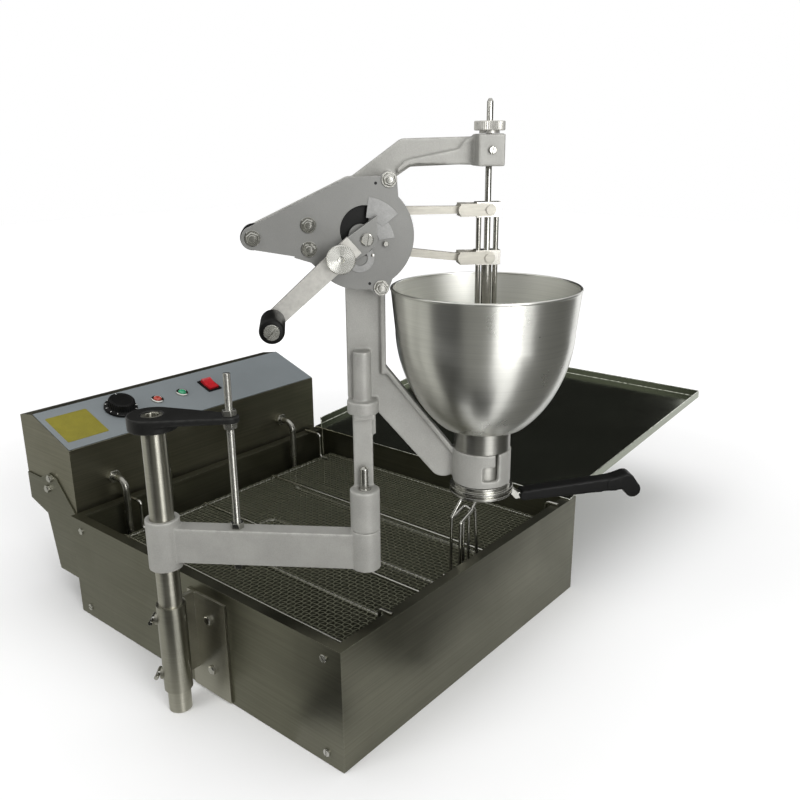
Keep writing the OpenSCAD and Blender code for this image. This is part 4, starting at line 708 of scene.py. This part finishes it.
def edged_copy(node, width):
    bm = merged(frame["nodes"][node].data)
    bmesh.ops.dissolve_limit(bm, angle_limit=FLAT_WITHIN, verts=bm.verts, edges=bm.edges)
    for face in bm.faces:
        face.smooth = True
    mesh = poured(node + "_edged", bm)
    mesh.materials.append(None)
    mesh.materials.append(None)
    mesh = settled(mesh, [("BEVEL", {
        "width": width, "segments": 2, "limit_method": "ANGLE", "angle_limit": BEVEL_OVER,
        "material": 1,
    })])
    part_shading(mesh)
    on_bevel = column(mesh.polygons, "material_index", 1, int)[:, 0]
    corners = column(mesh.polygons, "loop_total", 1, int)[:, 0]
    mark = mesh.attributes.new("edge", "FLOAT", "CORNER")
    mark.data.foreach_set("value", np.repeat(on_bevel, corners).astype(float))
    mesh.polygons.foreach_set("material_index", np.zeros_like(on_bevel))
    return stand_in(node + "_edged", mesh, node, OWN_FINISH.get(node))


for width, nodes in EDGES.items():
    for node in nodes:
        piece = edged_copy(node, width)
        print(piece.name, len(piece.data.polygons), "faces")

# %% [markdown]
# ## Turned and spun parts
# The hopper is spun from one disc, and the knobs, lamps and grip are turned or moulded round. A
# Screw modifier could sweep a profile, but building the rings point by point also gives one shared
# point on the axis, ridges for knurls, and a UV map. Its U runs along the profile, so the hopper's
# brushed lines can stretch its highlights up and down, as on the real bowl.

# %% Lathe helper
def lathe(name, profile, place, segments=64, ridges=0, groove=0.0, ridged=(0, 0), crisp=32):
    closed = profile[0] == profile[-1]
    lengths = [0.0]
    for (r0, z0), (r1, z1) in zip(profile, profile[1:]):
        lengths.append(lengths[-1] + math.hypot(r1 - r0, z1 - z0))
    points, rings, faces, marks = [], [], [], []
    for i, (radius, height) in enumerate(profile):
        if closed and i == len(profile) - 1:
            rings.append(rings[0])
            continue
        count = segments if radius else 1
        rings.append(list(range(len(points), len(points) + count)))
        for k in range(count):
            angle = 2 * math.pi * k / segments
            in_ridges = ridged[0] <= i < ridged[1]
            cut = groove * (0.5 - 0.5 * math.cos(ridges * angle)) if in_ridges else 0
            reach = radius - cut
            points.append(spot(reach * math.cos(angle), reach * math.sin(angle), height))
    for i, (low, high) in enumerate(zip(rings, rings[1:])):
        for k in range(segments):
            around = [(low, i, k), (low, i, k + 1), (high, i + 1, k + 1), (high, i + 1, k)]
            if len(low) == 1:
                around = around[1:]
            if len(high) == 1:
                around = around[:2] + around[3:]
            faces.append([ring[n % len(ring)] for ring, _, n in around])
            for _, j, n in around:
                marks += [lengths[j] / lengths[-1], n / segments]
    mesh = bpy.data.meshes.new(name)
    mesh.from_pydata(points, [], faces)
    mesh.uv_layers.new(name="turned").data.foreach_set("uv", marks)
    mesh.transform(place)
    mesh.shade_smooth()
    mesh.set_sharp_from_angle(angle=math.radians(crisp))
    return mesh


print("lathe ready")

# %% [markdown]
# ## Hopper
# The bowl's outside and inside follow the same curve, one sheet apart. A Solidify modifier could
# give that thickness, but one closed profile also holds the rolled rim and the outlet. An attribute
# marks the inside, which the finish makes more matt than the polished outside.

# %% Hopper
SHEET = 1.5
BELLY_RADIUS, BELLY_HEIGHT = 89.2, 445.0
FOOT_RADIUS, FOOT_HEIGHT = 43.0, 348.0
CURVE_POWER, CURVE_STEPS = 1.76, 40
RIM_RADIUS, RIM_HEIGHT = 92.5, 486.5
MOUTH = (91.0, 485.0)
OUTLET_RADIUS = 22.0
BOWL_SEGMENTS = 160


def bowl_line(inset):
    belly, foot = BELLY_RADIUS - inset, FOOT_RADIUS - inset
    end = (1 - (foot / belly) ** 2) ** (1 / CURVE_POWER)
    drop = (BELLY_HEIGHT - FOOT_HEIGHT + SHEET - inset) / end
    line = []
    for i in range(CURVE_STEPS + 1):
        s = end * math.sin(math.pi / 2 * i / CURVE_STEPS)
        line.append((belly * math.sqrt(1 - s ** CURVE_POWER), BELLY_HEIGHT - drop * s))
    return line


def rolled_rim():
    angles = [math.radians(a) for a in range(-60, 211, 18)]
    return [(RIM_RADIUS + SHEET * math.cos(a), RIM_HEIGHT + SHEET * math.sin(a)) for a in angles]


outside = [(OUTLET_RADIUS, FOOT_HEIGHT - SHEET), *bowl_line(0)[::-1], *rolled_rim()]
bowl = [*outside, MOUTH, *bowl_line(SHEET), (OUTLET_RADIUS, FOOT_HEIGHT), outside[0]]
bowl_mesh = lathe("hopper_bowl", bowl, HOPPER, BOWL_SEGMENTS)
inner_from = BOWL_SEGMENTS * len(outside)
inside = bowl_mesh.attributes.new("inside", "FLOAT", "POINT")
inside.data.foreach_set("value", [float(k >= inner_from) for k in range(len(bowl_mesh.vertices))])
hopper = stand_in("hopper_bowl", bowl_mesh, "hopper")
print(hopper.name, len(hopper.data.polygons), "faces")

# %% [markdown]
# ## Controls
# Two pilot lamps with chromed rims and a thermostat knob with a dial sit on the sloped facia.
# Bevelled cylinders would do from afar, but a lathed profile gives the lens its dome and the knob
# its skirt. All are placed by the facia's own axes.

# %% Lamps and knobs
LAMP_ROW = 53
LAMPS = {"red": -52, "green": -7}
rim_line = [
    (6.05, 1.3), (9.5, 1.3), (9.5, 2.6), (9.2, 3.5), (8.4, 4.15), (7.4, 4.3), (6.5, 4.0),
    (6.05, 3.2), (6.05, 1.3),
]
lens_line = [
    (0, 0.5), (5.95, 0.5), (5.95, 4.0), (5.5, 5.0), (4.5, 5.7), (3.0, 6.1), (1.5, 6.25), (0, 6.3),
]
knob_line = [
    (0, 1.7), (23.4, 1.7), (24.0, 2.3), (24.0, 5.0), (23.2, 6.0), (20.4, 6.7), (19.8, 7.4),
    (18.9, 15.6), (18.2, 17.0), (16.8, 17.7), (15.0, 17.7), (14.2, 17.1), (0, 17.1),
]
lamp_places = {colour: at(FACIA, x, LAMP_ROW, 0) for colour, x in LAMPS.items()}
rims = joined("lamp_rims", [lathe("rim", rim_line, place, 48) for place in lamp_places.values()])
stand_in("lamp_rims", rims, "lamp_bezels")
for colour, place in lamp_places.items():
    lens = lathe("lens", lens_line, place, 40, crisp=50)
    stand_in(colour + "_lens", lens, colour + "_lamp")
knob = lathe("thermostat_dial", knob_line, DIAL, 144, ridges=36, groove=0.8, ridged=(6, 9))
stand_in("thermostat_dial", knob, "thermostat_knob")
print("controls:", len(LAMPS), "lamps and a knob of", len(knob.polygons), "faces")

# %% [markdown]
# ## Grip and knurled knobs
# The crank's grip is a moulded sleeve, and the stroke and guide knobs are turned and knurled. A
# bump could draw the knurls, but their outline shows against the light, so a wave is cut into the
# rings.

# %% Crank grip and knurled knobs
GRIP_REACH, STROKE_REACH = 112, 27
KNURL = dict(segments=192, ridges=48, groove=0.45, ridged=(3, 7))
grip_line = [
    (4.06, 30.1), (9.8, 30.1), (11, 30.9), (11.4, 32.4), (11.4, 73.6), (11.1, 75.2), (10.3, 76.4),
    (9.1, 77.1), (4.06, 77.1), (4.06, 30.1),
]
stroke_line = [
    (0, 30.3), (8, 30.3), (8, 35.3), (12.7, 35.3), (13.5, 36.1), (13.5, 41.4), (12.7, 42.3),
    (3.2, 42.0), (2.5, 40.7), (0, 40.4),
]
guide_line = [
    (3.06, 630.3), (9.5, 630.3), (9.5, 632.8), (13.8, 632.8), (14.5, 633.5), (14.5, 640.6),
    (13.8, 641.3), (3.06, 641.3), (3.06, 630.3),
]
grip = lathe("grip_sleeve", grip_line, at(CRANK, GRIP_REACH, 0, 0), 56)
stand_in("grip_sleeve", grip, "crank_grip")
stroke = lathe("stroke_wheel", stroke_line, at(CRANK, STROKE_REACH, 0, 0), **KNURL)
stand_in("stroke_wheel", stroke, "stroke_knob", "turned_steel")
guide = lathe("guide_wheel", guide_line, HOPPER, **KNURL)
stand_in("guide_wheel", guide, "guide_knob")
print("knurled knobs:", len(stroke.polygons) + len(guide.polygons), "faces")

# %% [markdown]
# ## Trees for wire, thread and fasteners
# The screen's wires, the heating tube, the rod's thread and the many screws all follow a path or
# repeat. Curves and arrays set by hand would have to be set again for each piece. Geometry Nodes
# suit them better: one tree per kind, with its sizes as named inputs. The result is taken as a
# plain mesh at once, so nothing live stays on the piece, and the piece gets its finish like any
# other.

# %% Tree helpers
def grow_tree(name, inputs):
    tree = bpy.data.node_groups.new(name, "GeometryNodeTree")
    sockets = tree.interface
    for label, kind in [("Geometry", "Geometry"), *inputs]:
        sockets.new_socket(label, in_out="INPUT", socket_type="NodeSocket" + kind)
    sockets.new_socket("Geometry", in_out="OUTPUT", socket_type="NodeSocketGeometry")
    return tree, put(tree, "NodeGroupInput").outputs


def close_tree(tree, geometry, smooth=True):
    geometry = out(tree, "GeometryNodeRealizeInstances", {"Geometry": geometry})
    if smooth:
        geometry = out(tree, "GeometryNodeSetShadeSmooth", {"Geometry": geometry})
    put(tree, "NodeGroupOutput", {0: geometry})
    return tree


def grow(tree, mesh, **sizes):
    holder = held(mesh)
    work = holder.modifiers.new("grow", "NODES")
    work.node_group = tree
    sockets = [item for item in tree.interface.items_tree if item.item_type == "SOCKET"]
    named = {item.name: item.identifier for item in sockets if item.in_out == "INPUT"}
    for label, value in sizes.items():
        work[named[label.replace("_", " ")]] = value
    return taken(holder)


print("tree helpers ready")

# %% Bent wire tree
BEND_STEPS = 6


def bent_wire_tree():
    sizes = [("Radius", "Float"), ("Bend", "Float"), ("Sides", "Int")]
    tree, given = grow_tree("bent_wire", sizes)
    path = out(tree, "GeometryNodeMeshToCurve", {"Mesh": given["Geometry"]})
    soft = out(tree, "GeometryNodeFilletCurve", {
        "Curve": path, "Count": BEND_STEPS, "Radius": given["Bend"], "Limit Radius": True,
    }, mode="POLY")
    ring = out(tree, "GeometryNodeCurvePrimitiveCircle", {
        "Resolution": given["Sides"], "Radius": given["Radius"],
    })
    return close_tree(tree, out(tree, "GeometryNodeCurveToMesh", {
        "Curve": soft, "Profile Curve": ring, "Fill Caps": True,
    }))


def wire_path(name, paths):
    mesh = bpy.data.meshes.new(name)
    points, edges = [], []
    for path in paths:
        edges += [(len(points) + k, len(points) + k + 1) for k in range(len(path) - 1)]
        points += [spot(*p) for p in path]
    mesh.from_pydata(points, edges, [])
    return mesh


BENT_WIRE = bent_wire_tree()
print("tree:", BENT_WIRE.name)

# %% [markdown]
# ## Heating tube, probe and screen wires
# Each wire is a list of corner points, and the tree rounds the corners. The heating tube drops into
# the oil, runs to the front and back on four legs, and rises again. The screen hangs on four hooks
# and is lifted by a bent handle.

# %% Heating tube, probe and screen wires
LEGS = [-168, -62.667, 42.667, 148]
TUBE_FRONT, TUBE_BACK, TUBE_LOW, TUBE_HIGH = -191, 167, 57.5, 177
FOOT, HOOK, LIFT, TOP = 105.668, 146.1, -221, 185
drop = [(273, TUBE_HIGH), (227, TUBE_HIGH), (227, TUBE_LOW)]
loops = [(0, TUBE_FRONT), (1, TUBE_FRONT), (1, TUBE_BACK), (2, TUBE_BACK), (2, TUBE_FRONT),
         (3, TUBE_FRONT)]
tube_path = [(LEGS[0], y, z) for y, z in drop]
tube_path += [(LEGS[leg], y, TUBE_LOW) for leg, y in loops]
tube_path += [(LEGS[3], y, z) for y, z in reversed(drop)]
probe_path = [(-96, 269, TUBE_HIGH), (-96, 228, TUBE_HIGH), (-96, 228, TUBE_LOW)]
hanger_paths = [
    [(x, start, FOOT), (x, bend, FOOT), (x, bend, HOOK), (x, end, HOOK)]
    for x in (-157, 196) for start, bend, end in ((-209, -228, -246), (193, 212, 246))
]
handle_paths = [
    [(0, LIFT + 8, FOOT), (0, LIFT, FOOT), (1.4, LIFT, TOP), (6.6, LIFT, TOP), (8, LIFT, FOOT),
     (8, LIFT + 8, FOOT)],
    [(30, LIFT + 16, FOOT), (30, LIFT + 8, FOOT), (30, LIFT + 8, TOP + 3), (40, LIFT + 6, TOP + 3),
     (42, LIFT + 2, FOOT), (42, LIFT + 12, FOOT)],
    [(1, LIFT + 24, FOOT), (1, LIFT + 14, FOOT), (1, LIFT + 13, TOP + 3), (14, LIFT + 9, TOP + 23),
     (52, LIFT + 9, TOP + 14), (35, LIFT + 7, TOP + 3)],
    [(4, LIFT, TOP), (28, LIFT + 2, TOP + 6), (31, LIFT + 15, TOP + 8), (1, LIFT + 13.4, TOP + 1)],
]
WIRES = [  # node, paths, radius and bend in millimetres, sides
    ("heating_tube", [tube_path], 5, 14, 16),
    ("thermostat_probe", [probe_path], 3, 10, 12),
    ("screen_hangers", hanger_paths, 2, 5, 10),
    ("screen_handle", handle_paths, 2, 3, 10),
]
for node, paths, radius, bend, sides in WIRES:
    mesh = grow(BENT_WIRE, wire_path(node, paths), Radius=radius / 1000, Bend=bend / 1000,
                Sides=sides)
    stand_in(node + "_bent", mesh, node)
    print(node, len(mesh.polygons), "faces")

# %% [markdown]
# ## Woven screen
# The frying screen is plain-woven wire: each wire goes over one crossing and under the next. A
# sheet with holes would look flat this near, so the wires are real. One waved wire is made from a
# line of points, set on a row of points, and every second copy is turned over about its own length.
# The same row, turned a quarter and waved the other way, makes the wires that cross it.

# %% Woven net tree
WIRE_SIDES = 4


def woven_net_tree():
    tree, given = grow_tree("woven_net", [
        ("Width", "Float"), ("Depth", "Float"), ("Wires", "Int"), ("Wire radius", "Float"),
        ("Centre", "Vector"),
    ])
    radius = given["Wire radius"]
    samples = calc(tree, "SUBTRACT", calc(tree, "MULTIPLY", given["Wires"], 2.0), 1.0)
    index = out(tree, "GeometryNodeInputIndex")
    wave = calc(tree, "COSINE", calc(tree, "MULTIPLY", index, math.pi / 2))
    ring = out(tree, "GeometryNodeCurvePrimitiveCircle", {
        "Resolution": WIRE_SIDES, "Radius": radius,
    })

    def vector(axis, value):
        return out(tree, "ShaderNodeCombineXYZ", {axis: value})

    def line(axis, count, length):
        half = calc(tree, "MULTIPLY", length, 0.5)
        ends = [vector(axis, calc(tree, "MULTIPLY", half, side)) for side in (-1.0, 1.0)]
        feeds = {"Count": count, "Start Location": ends[0], "Offset": ends[1]}
        return out(tree, "GeometryNodeMeshLine", feeds, mode="END_POINTS")

    flips = vector("X", calc(tree, "MULTIPLY", index, math.pi))
    over = out(tree, "FunctionNodeEulerToRotation", {"Euler": flips})

    def row(length, width, way):
        rise = calc(tree, "MULTIPLY", calc(tree, "MULTIPLY", wave, radius), way)
        bent = out(tree, "GeometryNodeSetPosition", {
            "Geometry": line("X", samples, length), "Offset": vector("Z", rise),
        })
        curve = out(tree, "GeometryNodeMeshToCurve", {"Mesh": bent})
        wire = out(tree, "GeometryNodeCurveToMesh", {"Curve": curve, "Profile Curve": ring})
        seats = line("Y", given["Wires"], width)
        return out(tree, "GeometryNodeInstanceOnPoints", {
            "Points": seats, "Instance": wire, "Rotation": over,
        })

    along = row(given["Width"], given["Depth"], 1.0)
    across = out(tree, "GeometryNodeTransform", {
        "Geometry": row(given["Depth"], given["Width"], -1.0), "Rotation": (0, 0, math.pi / 2),
    })
    both = put(tree, "GeometryNodeJoinGeometry")
    for part in (along, across):
        tree.links.new(part, both.inputs[0])
    return close_tree(tree, out(tree, "GeometryNodeTransform", {
        "Geometry": both.outputs[0], "Translation": given["Centre"],
    }))


net = grow(woven_net_tree(), bpy.data.meshes.new("net_seat"), Width=0.447, Depth=0.443, Wires=69,
           Wire_radius=0.00065, Centre=(0, -0.008, 0.103))
stand_in("woven_screen", net, "screen_net")
print("woven screen:", len(net.polygons), "faces")

# %% [markdown]
# ## Thread
# The rod that lifts the arm is threaded along its whole length. A stack of rings would look alike
# from afar, but a thread climbs. So a cylinder with several rows to each turn gets its radius from
# a triangle wave that climbs as it goes round, which is what a die cuts.

# %% Thread tree
ROD_SIDES = 20


def threaded_bar_tree():
    tree, given = grow_tree("threaded_bar", [
        ("Radius", "Float"), ("Length", "Float"), ("Pitch", "Float"), ("Groove", "Float"),
        ("Rows", "Int"),
    ])
    bar = out(tree, "GeometryNodeMeshCylinder", {
        "Vertices": ROD_SIDES, "Side Segments": given["Rows"], "Radius": given["Radius"],
        "Depth": given["Length"],
    })
    place = out(tree, "GeometryNodeInputPosition")
    parts = put(tree, "ShaderNodeSeparateXYZ", {"Vector": place}).outputs
    angle = calc(tree, "ARCTAN2", parts["Y"], parts["X"])
    turns = calc(tree, "DIVIDE", parts["Z"], given["Pitch"])
    climb = calc(tree, "SUBTRACT", turns, calc(tree, "DIVIDE", angle, 2 * math.pi))
    wave = calc(tree, "MULTIPLY", calc(tree, "PINGPONG", climb, 0.5), 2.0)
    cut = calc(tree, "DIVIDE", calc(tree, "MULTIPLY", wave, given["Groove"]), given["Radius"])
    keep = calc(tree, "SUBTRACT", 1.0, cut)
    scale = out(tree, "ShaderNodeCombineXYZ", {"X": keep, "Y": keep, "Z": 1.0})
    moved = out(tree, "ShaderNodeVectorMath", {0: place, 1: scale}, operation="MULTIPLY")
    feeds = {"Geometry": bar, "Position": moved}
    return close_tree(tree, out(tree, "GeometryNodeSetPosition", feeds))


rod = grow(threaded_bar_tree(), bpy.data.meshes.new("rod_seat"), Radius=0.004, Length=0.2194,
           Pitch=0.00125, Groove=0.0006, Rows=880)
rod.transform(at(POST, 82, 0, 292.3))
stand_in("lifting_rod_thread", rod, "lifting_rod")
print("thread:", len(rod.polygons), "faces")

# %% [markdown]
# ## Fasteners
# Slotted screws hold the side panels, hexagon bolts the brackets, and washered nuts the cam
# housing. Each could be copied and turned by hand. Here each kind is modelled once, and a tree sets
# it on points that carry the way it faces and how far it was turned when tightened.

# %% Fastener shapes
HALF_STEPS = 12
BASE_SHARE = 0.45
HEAD_RINGS = ((1.0, 0.42), (1.0, 0.7), (0.9, 0.93), (0.8, 1.0))


def slotted_head(radius, height, slot):
    disc = [(0, 0), (radius, 0), (radius, BASE_SHARE * height), (0, BASE_SHARE * height)]
    bm = bmesh.new()
    bm.from_mesh(lathe("base", disc, Matrix(), 28))
    start = math.asin(slot / 2 / radius)
    angles = [start + (math.pi - 2 * start) * k / HALF_STEPS for k in range(HALF_STEPS + 1)]
    for way in (1, -1):
        rings = []
        for share, rise in HEAD_RINGS:
            ring = []
            for a in angles:
                side = slot / 2 + (radius * math.sin(a) - slot / 2) * share
                reach = radius * math.cos(a) * share
                ring.append(bm.verts.new(spot(way * reach, way * side, rise * height)))
            rings.append(ring)
        for low, high in zip(rings, rings[1:]):
            for k in range(len(angles)):
                n = (k + 1) % len(angles)
                bm.faces.new((low[k], low[n], high[n], high[k]))
        bm.faces.new(rings[-1])
    return poured("slotted_head", bm)


def hex_head(across, height, washer=0.0, end=0.0):
    corner, foot = across / 2 / math.cos(math.pi / 6), 1.0 if washer else 0.0
    body = [(0, foot), (corner, foot), (corner, height - 0.9), (corner - 1.0, height), (0, height)]
    parts = [lathe("hexagon", body, Matrix(), 6, crisp=20)]
    if washer:
        disc = [(0, 0), (washer, 0), (washer, 0.8), (washer - 0.3, 1.0), (0, 1.0)]
        parts.append(lathe("washer", disc, Matrix(), 28))
    if end:
        rises = ((end, 0), (end, 0.8), (end - 0.6, 1.4), (0, 1.6))
        dome = [(0, height), *[(radius, height + rise) for radius, rise in rises]]
        parts.append(lathe("end", dome, Matrix(), 24))
    return joined("hex_head", parts)


print("fastener shapes: slotted and hexagon")

# %% Fastener tree
def fastener_tree():
    tree, given = grow_tree("set_fasteners", [("Shape", "Object")])
    shape = put(tree, "GeometryNodeObjectInfo", {"Object": given["Shape"]}).outputs["Geometry"]

    def kept(name, kind):
        return out(tree, "GeometryNodeInputNamedAttribute", {"Name": name}, data_type=kind)

    aim = out(tree, "FunctionNodeAlignRotationToVector", {
        "Vector": kept("facing", "FLOAT_VECTOR"),
    }, axis="Z")
    spin = out(tree, "FunctionNodeAxisAngleToRotation", {
        "Axis": (0, 0, 1), "Angle": kept("twist", "FLOAT"),
    })
    both = out(tree, "FunctionNodeRotateRotation", {
        "Rotation": aim, "Rotate By": spin,
    }, rotation_space="LOCAL")
    seats = out(tree, "GeometryNodeInstanceOnPoints", {
        "Points": given["Geometry"], "Instance": shape, "Rotation": both,
    })
    return close_tree(tree, seats, smooth=False)


SET_FASTENERS = fastener_tree()


def set_fasteners(shape, seats):
    pattern = bpy.data.objects.new("pattern", shape)
    scene.collection.objects.link(pattern)
    places, ways, twists = zip(*seats)
    mesh = bpy.data.meshes.new("seats")
    mesh.from_pydata(places, [], [])
    aims = mesh.attributes.new("facing", "FLOAT_VECTOR", "POINT")
    aims.data.foreach_set("vector", [v for way in ways for v in way])
    mesh.attributes.new("twist", "FLOAT", "POINT").data.foreach_set("value", twists)
    done = grow(SET_FASTENERS, mesh, Shape=pattern)
    bpy.data.objects.remove(pattern)
    return done


print("tree:", SET_FASTENERS.name)

# %% Screws and bolts of the fryer
PANEL_FACE, CHEEK_FACE, BRACKET_FACE = 241, 229.6, 244
SIDES = (-1, 1)


def side_seat(side, face, y, z, twist):
    return spot(side * face, y, z), Vector((side, 0, 0)), twist


panel_spots = [(s, y, z) for s in SIDES for y in (-226, 226) for z in (14, 128.5)]
panel_seats = [side_seat(s, PANEL_FACE, y, z, 0.7 * k) for k, (s, y, z) in enumerate(panel_spots)]
screws = set_fasteners(slotted_head(4.5, 2.0, 1.1), panel_seats)
stand_in("panel_screw_heads", screws, "panel_screws")
bolt_seats = [
    side_seat(s, CHEEK_FACE, y, z, 0.4) for s in SIDES for y, z in ((315, 178), (325, 160))
]
bolt_seats += [side_seat(-1, BRACKET_FACE, -45, z, 0.9) for z in (36, 102)]
bolt_seats += [
    side_seat(1, BRACKET_FACE, y + d, 94, 0.2 + d) for y in (-140, 140) for d in (-12, 12)
]
bolts = set_fasteners(hex_head(10, 4.0), bolt_seats)
stand_in("bracket_bolt_heads", bolts, "bracket_bolts")
print("fasteners:", len(panel_seats), "screws and", len(bolt_seats), "bolts")

# %% Nuts of the cam housing
NUT_FRONT, NUT_BACK = 15.1, -16.1
HOUSING_SPOTS = [(27, 50.5), (18.5, -48.5), (-48, 11), (-48, -11), (-99, 0)]
ahead = facing(FRONT)
nut_seats = [
    (FRONT @ spot(u, z, depth), way, twist * k)
    for depth, way, twist in ((NUT_FRONT, ahead, 0.5), (NUT_BACK, -ahead, 0.3))
    for k, (u, z) in enumerate(HOUSING_SPOTS)
]
nuts = set_fasteners(hex_head(10.6, 4.2, washer=7.4, end=3.6), nut_seats)
guide_seat = [(FRONT @ spot(HOPPER_REACH, 75.5, 12.6), ahead, 0.6)]
set_screw = set_fasteners(slotted_head(3.5, 3.6, 1.0), guide_seat)
stand_in("housing_nuts", joined("housing_nuts", [nuts, set_screw]), "housing_bolts")
print("nuts:", len(nut_seats), "and a set screw")

# %% [markdown]
# ## Trim on the cam housing and the facia
# Small flat pieces finish the front: a stroke scale and a catch plate beside the hub, the big slotted
# screw that holds the hub, two stop pins, two thin black discs of painted shade where two small holes
# look dark, a blank plate on the facia, and the marks on the thermostat's dial. Painted marks would
# have no edge to catch the light, so the plates are cut from an outline with a slightly eased edge
# and set just on the face that carries them.

# %% Flat plates
def cut_plate(name, outline, low, high, place, ease=0.25):
    bm = bmesh.new()
    face = bm.faces.new([bm.verts.new(spot(x, y, low)) for x, y in outline])
    bmesh.ops.recalc_face_normals(bm, faces=[face])
    grown = bmesh.ops.extrude_face_region(bm, geom=[face])
    top = [v for v in grown["geom"] if isinstance(v, bmesh.types.BMVert)]
    bmesh.ops.translate(bm, verts=top, vec=spot(0, 0, high - low))
    bmesh.ops.recalc_face_normals(bm, faces=bm.faces)
    rim = [e for e in bm.edges if all(v in top for v in e.verts)]
    bmesh.ops.bevel(bm, geom=rim, offset=ease / 1000, segments=1, affect="EDGES")
    mesh = poured(name, bm)
    mesh.transform(place)
    return mesh


def arc(cx, cy, radius, start, end, steps):
    angles = [math.radians(start + (end - start) * k / steps) for k in range(steps + 1)]
    return [(cx + radius * math.cos(a), cy + radius * math.sin(a)) for a in angles]


def sector(cx, cy, inner, outer, start, end, steps=16):
    back = arc(cx, cy, inner, start, end, steps)[::-1]
    return arc(cx, cy, outer, start, end, steps) + back


def rounded_box(x0, y0, x1, y1, r):
    centres = ((x1 - r, y1 - r), (x0 + r, y1 - r), (x0 + r, y0 + r), (x1 - r, y0 + r))
    return [p for k, (x, y) in enumerate(centres) for p in arc(x, y, r, 90 * k, 90 * k + 90, 6)]


print("outlines: sector and rounded box")

# %% Scale, catch, pins and painted hole shade
FACE = 14.95
scale_plate = joined("stroke_scale", [
    cut_plate("scale", sector(2, -6, 23, 42, 38, 82), FACE, 15.7, FRONT),
    cut_plate("scale_foot", sector(2, -6, 15, 30, 8, 52), FACE, 15.4, FRONT),
])
fit_piece("stroke_scale", scale_plate, "depositor", "scale_grey", slot_name="grey_plate")
catch = cut_plate("catch_plate", sector(-1, -20, 7, 13.5, 200, 395, 24), FACE, 15.9, FRONT)
fit_piece("catch_plate", catch, "depositor", "scale_grey", slot_name="machined_steel")
stop_line = [(0, FACE), (2.6, FACE), (2.6, 18.4), (2.1, 19), (0, 19)]
rest_line = [(0, FACE), (1.5, FACE), (1.5, 16.6), (0, 17)]
hole_dot_line = [(0, FACE), (1.4, FACE), (1.4, 15.06), (0, 15.06)]
pins = joined("stop_pins", [
    lathe("pin", stop_line, at(FRONT, 23.2, -7.2, 0), 24),
    lathe("pin", rest_line, at(FRONT, 10.7, -17.7, 0), 20),
])
fit_piece("stop_pins", pins, "depositor", "bright_steel")
# Two black discs barely 0.1 mm proud of the face: painted shade where two small holes look dark.
hole_dots = joined("dowel_plugs", [
    lathe("hole_dot", hole_dot_line, at(FRONT, u, z, 0), 20) for u, z in ((14.6, 47.5), (7.6, -44.2))
])
fit_piece("dowel_plugs", hole_dots, "depositor", "black_metal")
hub_screw = slotted_head(6.0, 3.2, 2.0)
hub_screw.transform(at(FRONT, 5.1, -2.1, 24.0) @ turn(78, "Z"))
fit_piece("hub_screw", hub_screw, "crank", "bright_steel")
print("trim on the housing:", 5, "pieces")

# %% Facia plate and dial marks
DIAL_RING, POINTER = (21.8, 6.35), (15.9, 17.5)
blank = cut_plate("blank_plate", rounded_box(-219, 16, -157, 77, 2), 1.25, 1.65, FACIA, 0.15)
fit_piece("blank_plate", blank, "fryer", "plate_yellow", slot_name="facia_blue_grey")
tick_outline = [(-1.3, -0.4), (1.3, -0.4), (1.3, 0.4), (-1.3, 0.4)]
tick = cut_plate("tick", tick_outline, -0.5, 0.35, Matrix(), ease=0.1)
marks = [(*DIAL_RING, math.radians(a)) for a in range(-45, 226, 27)] + [(*POINTER, math.pi / 2)]
tick_seats = [
    (DIAL @ spot(r * math.cos(a), r * math.sin(a), z), facing(FACIA), a) for r, z, a in marks
]
ticks = set_fasteners(tick, tick_seats)
fit_piece("dial_marks", ticks, "thermostat", "dial_white", slot_name=SLOT_OF["thermostat_knob"])
print("dial marks:", len(tick_seats))
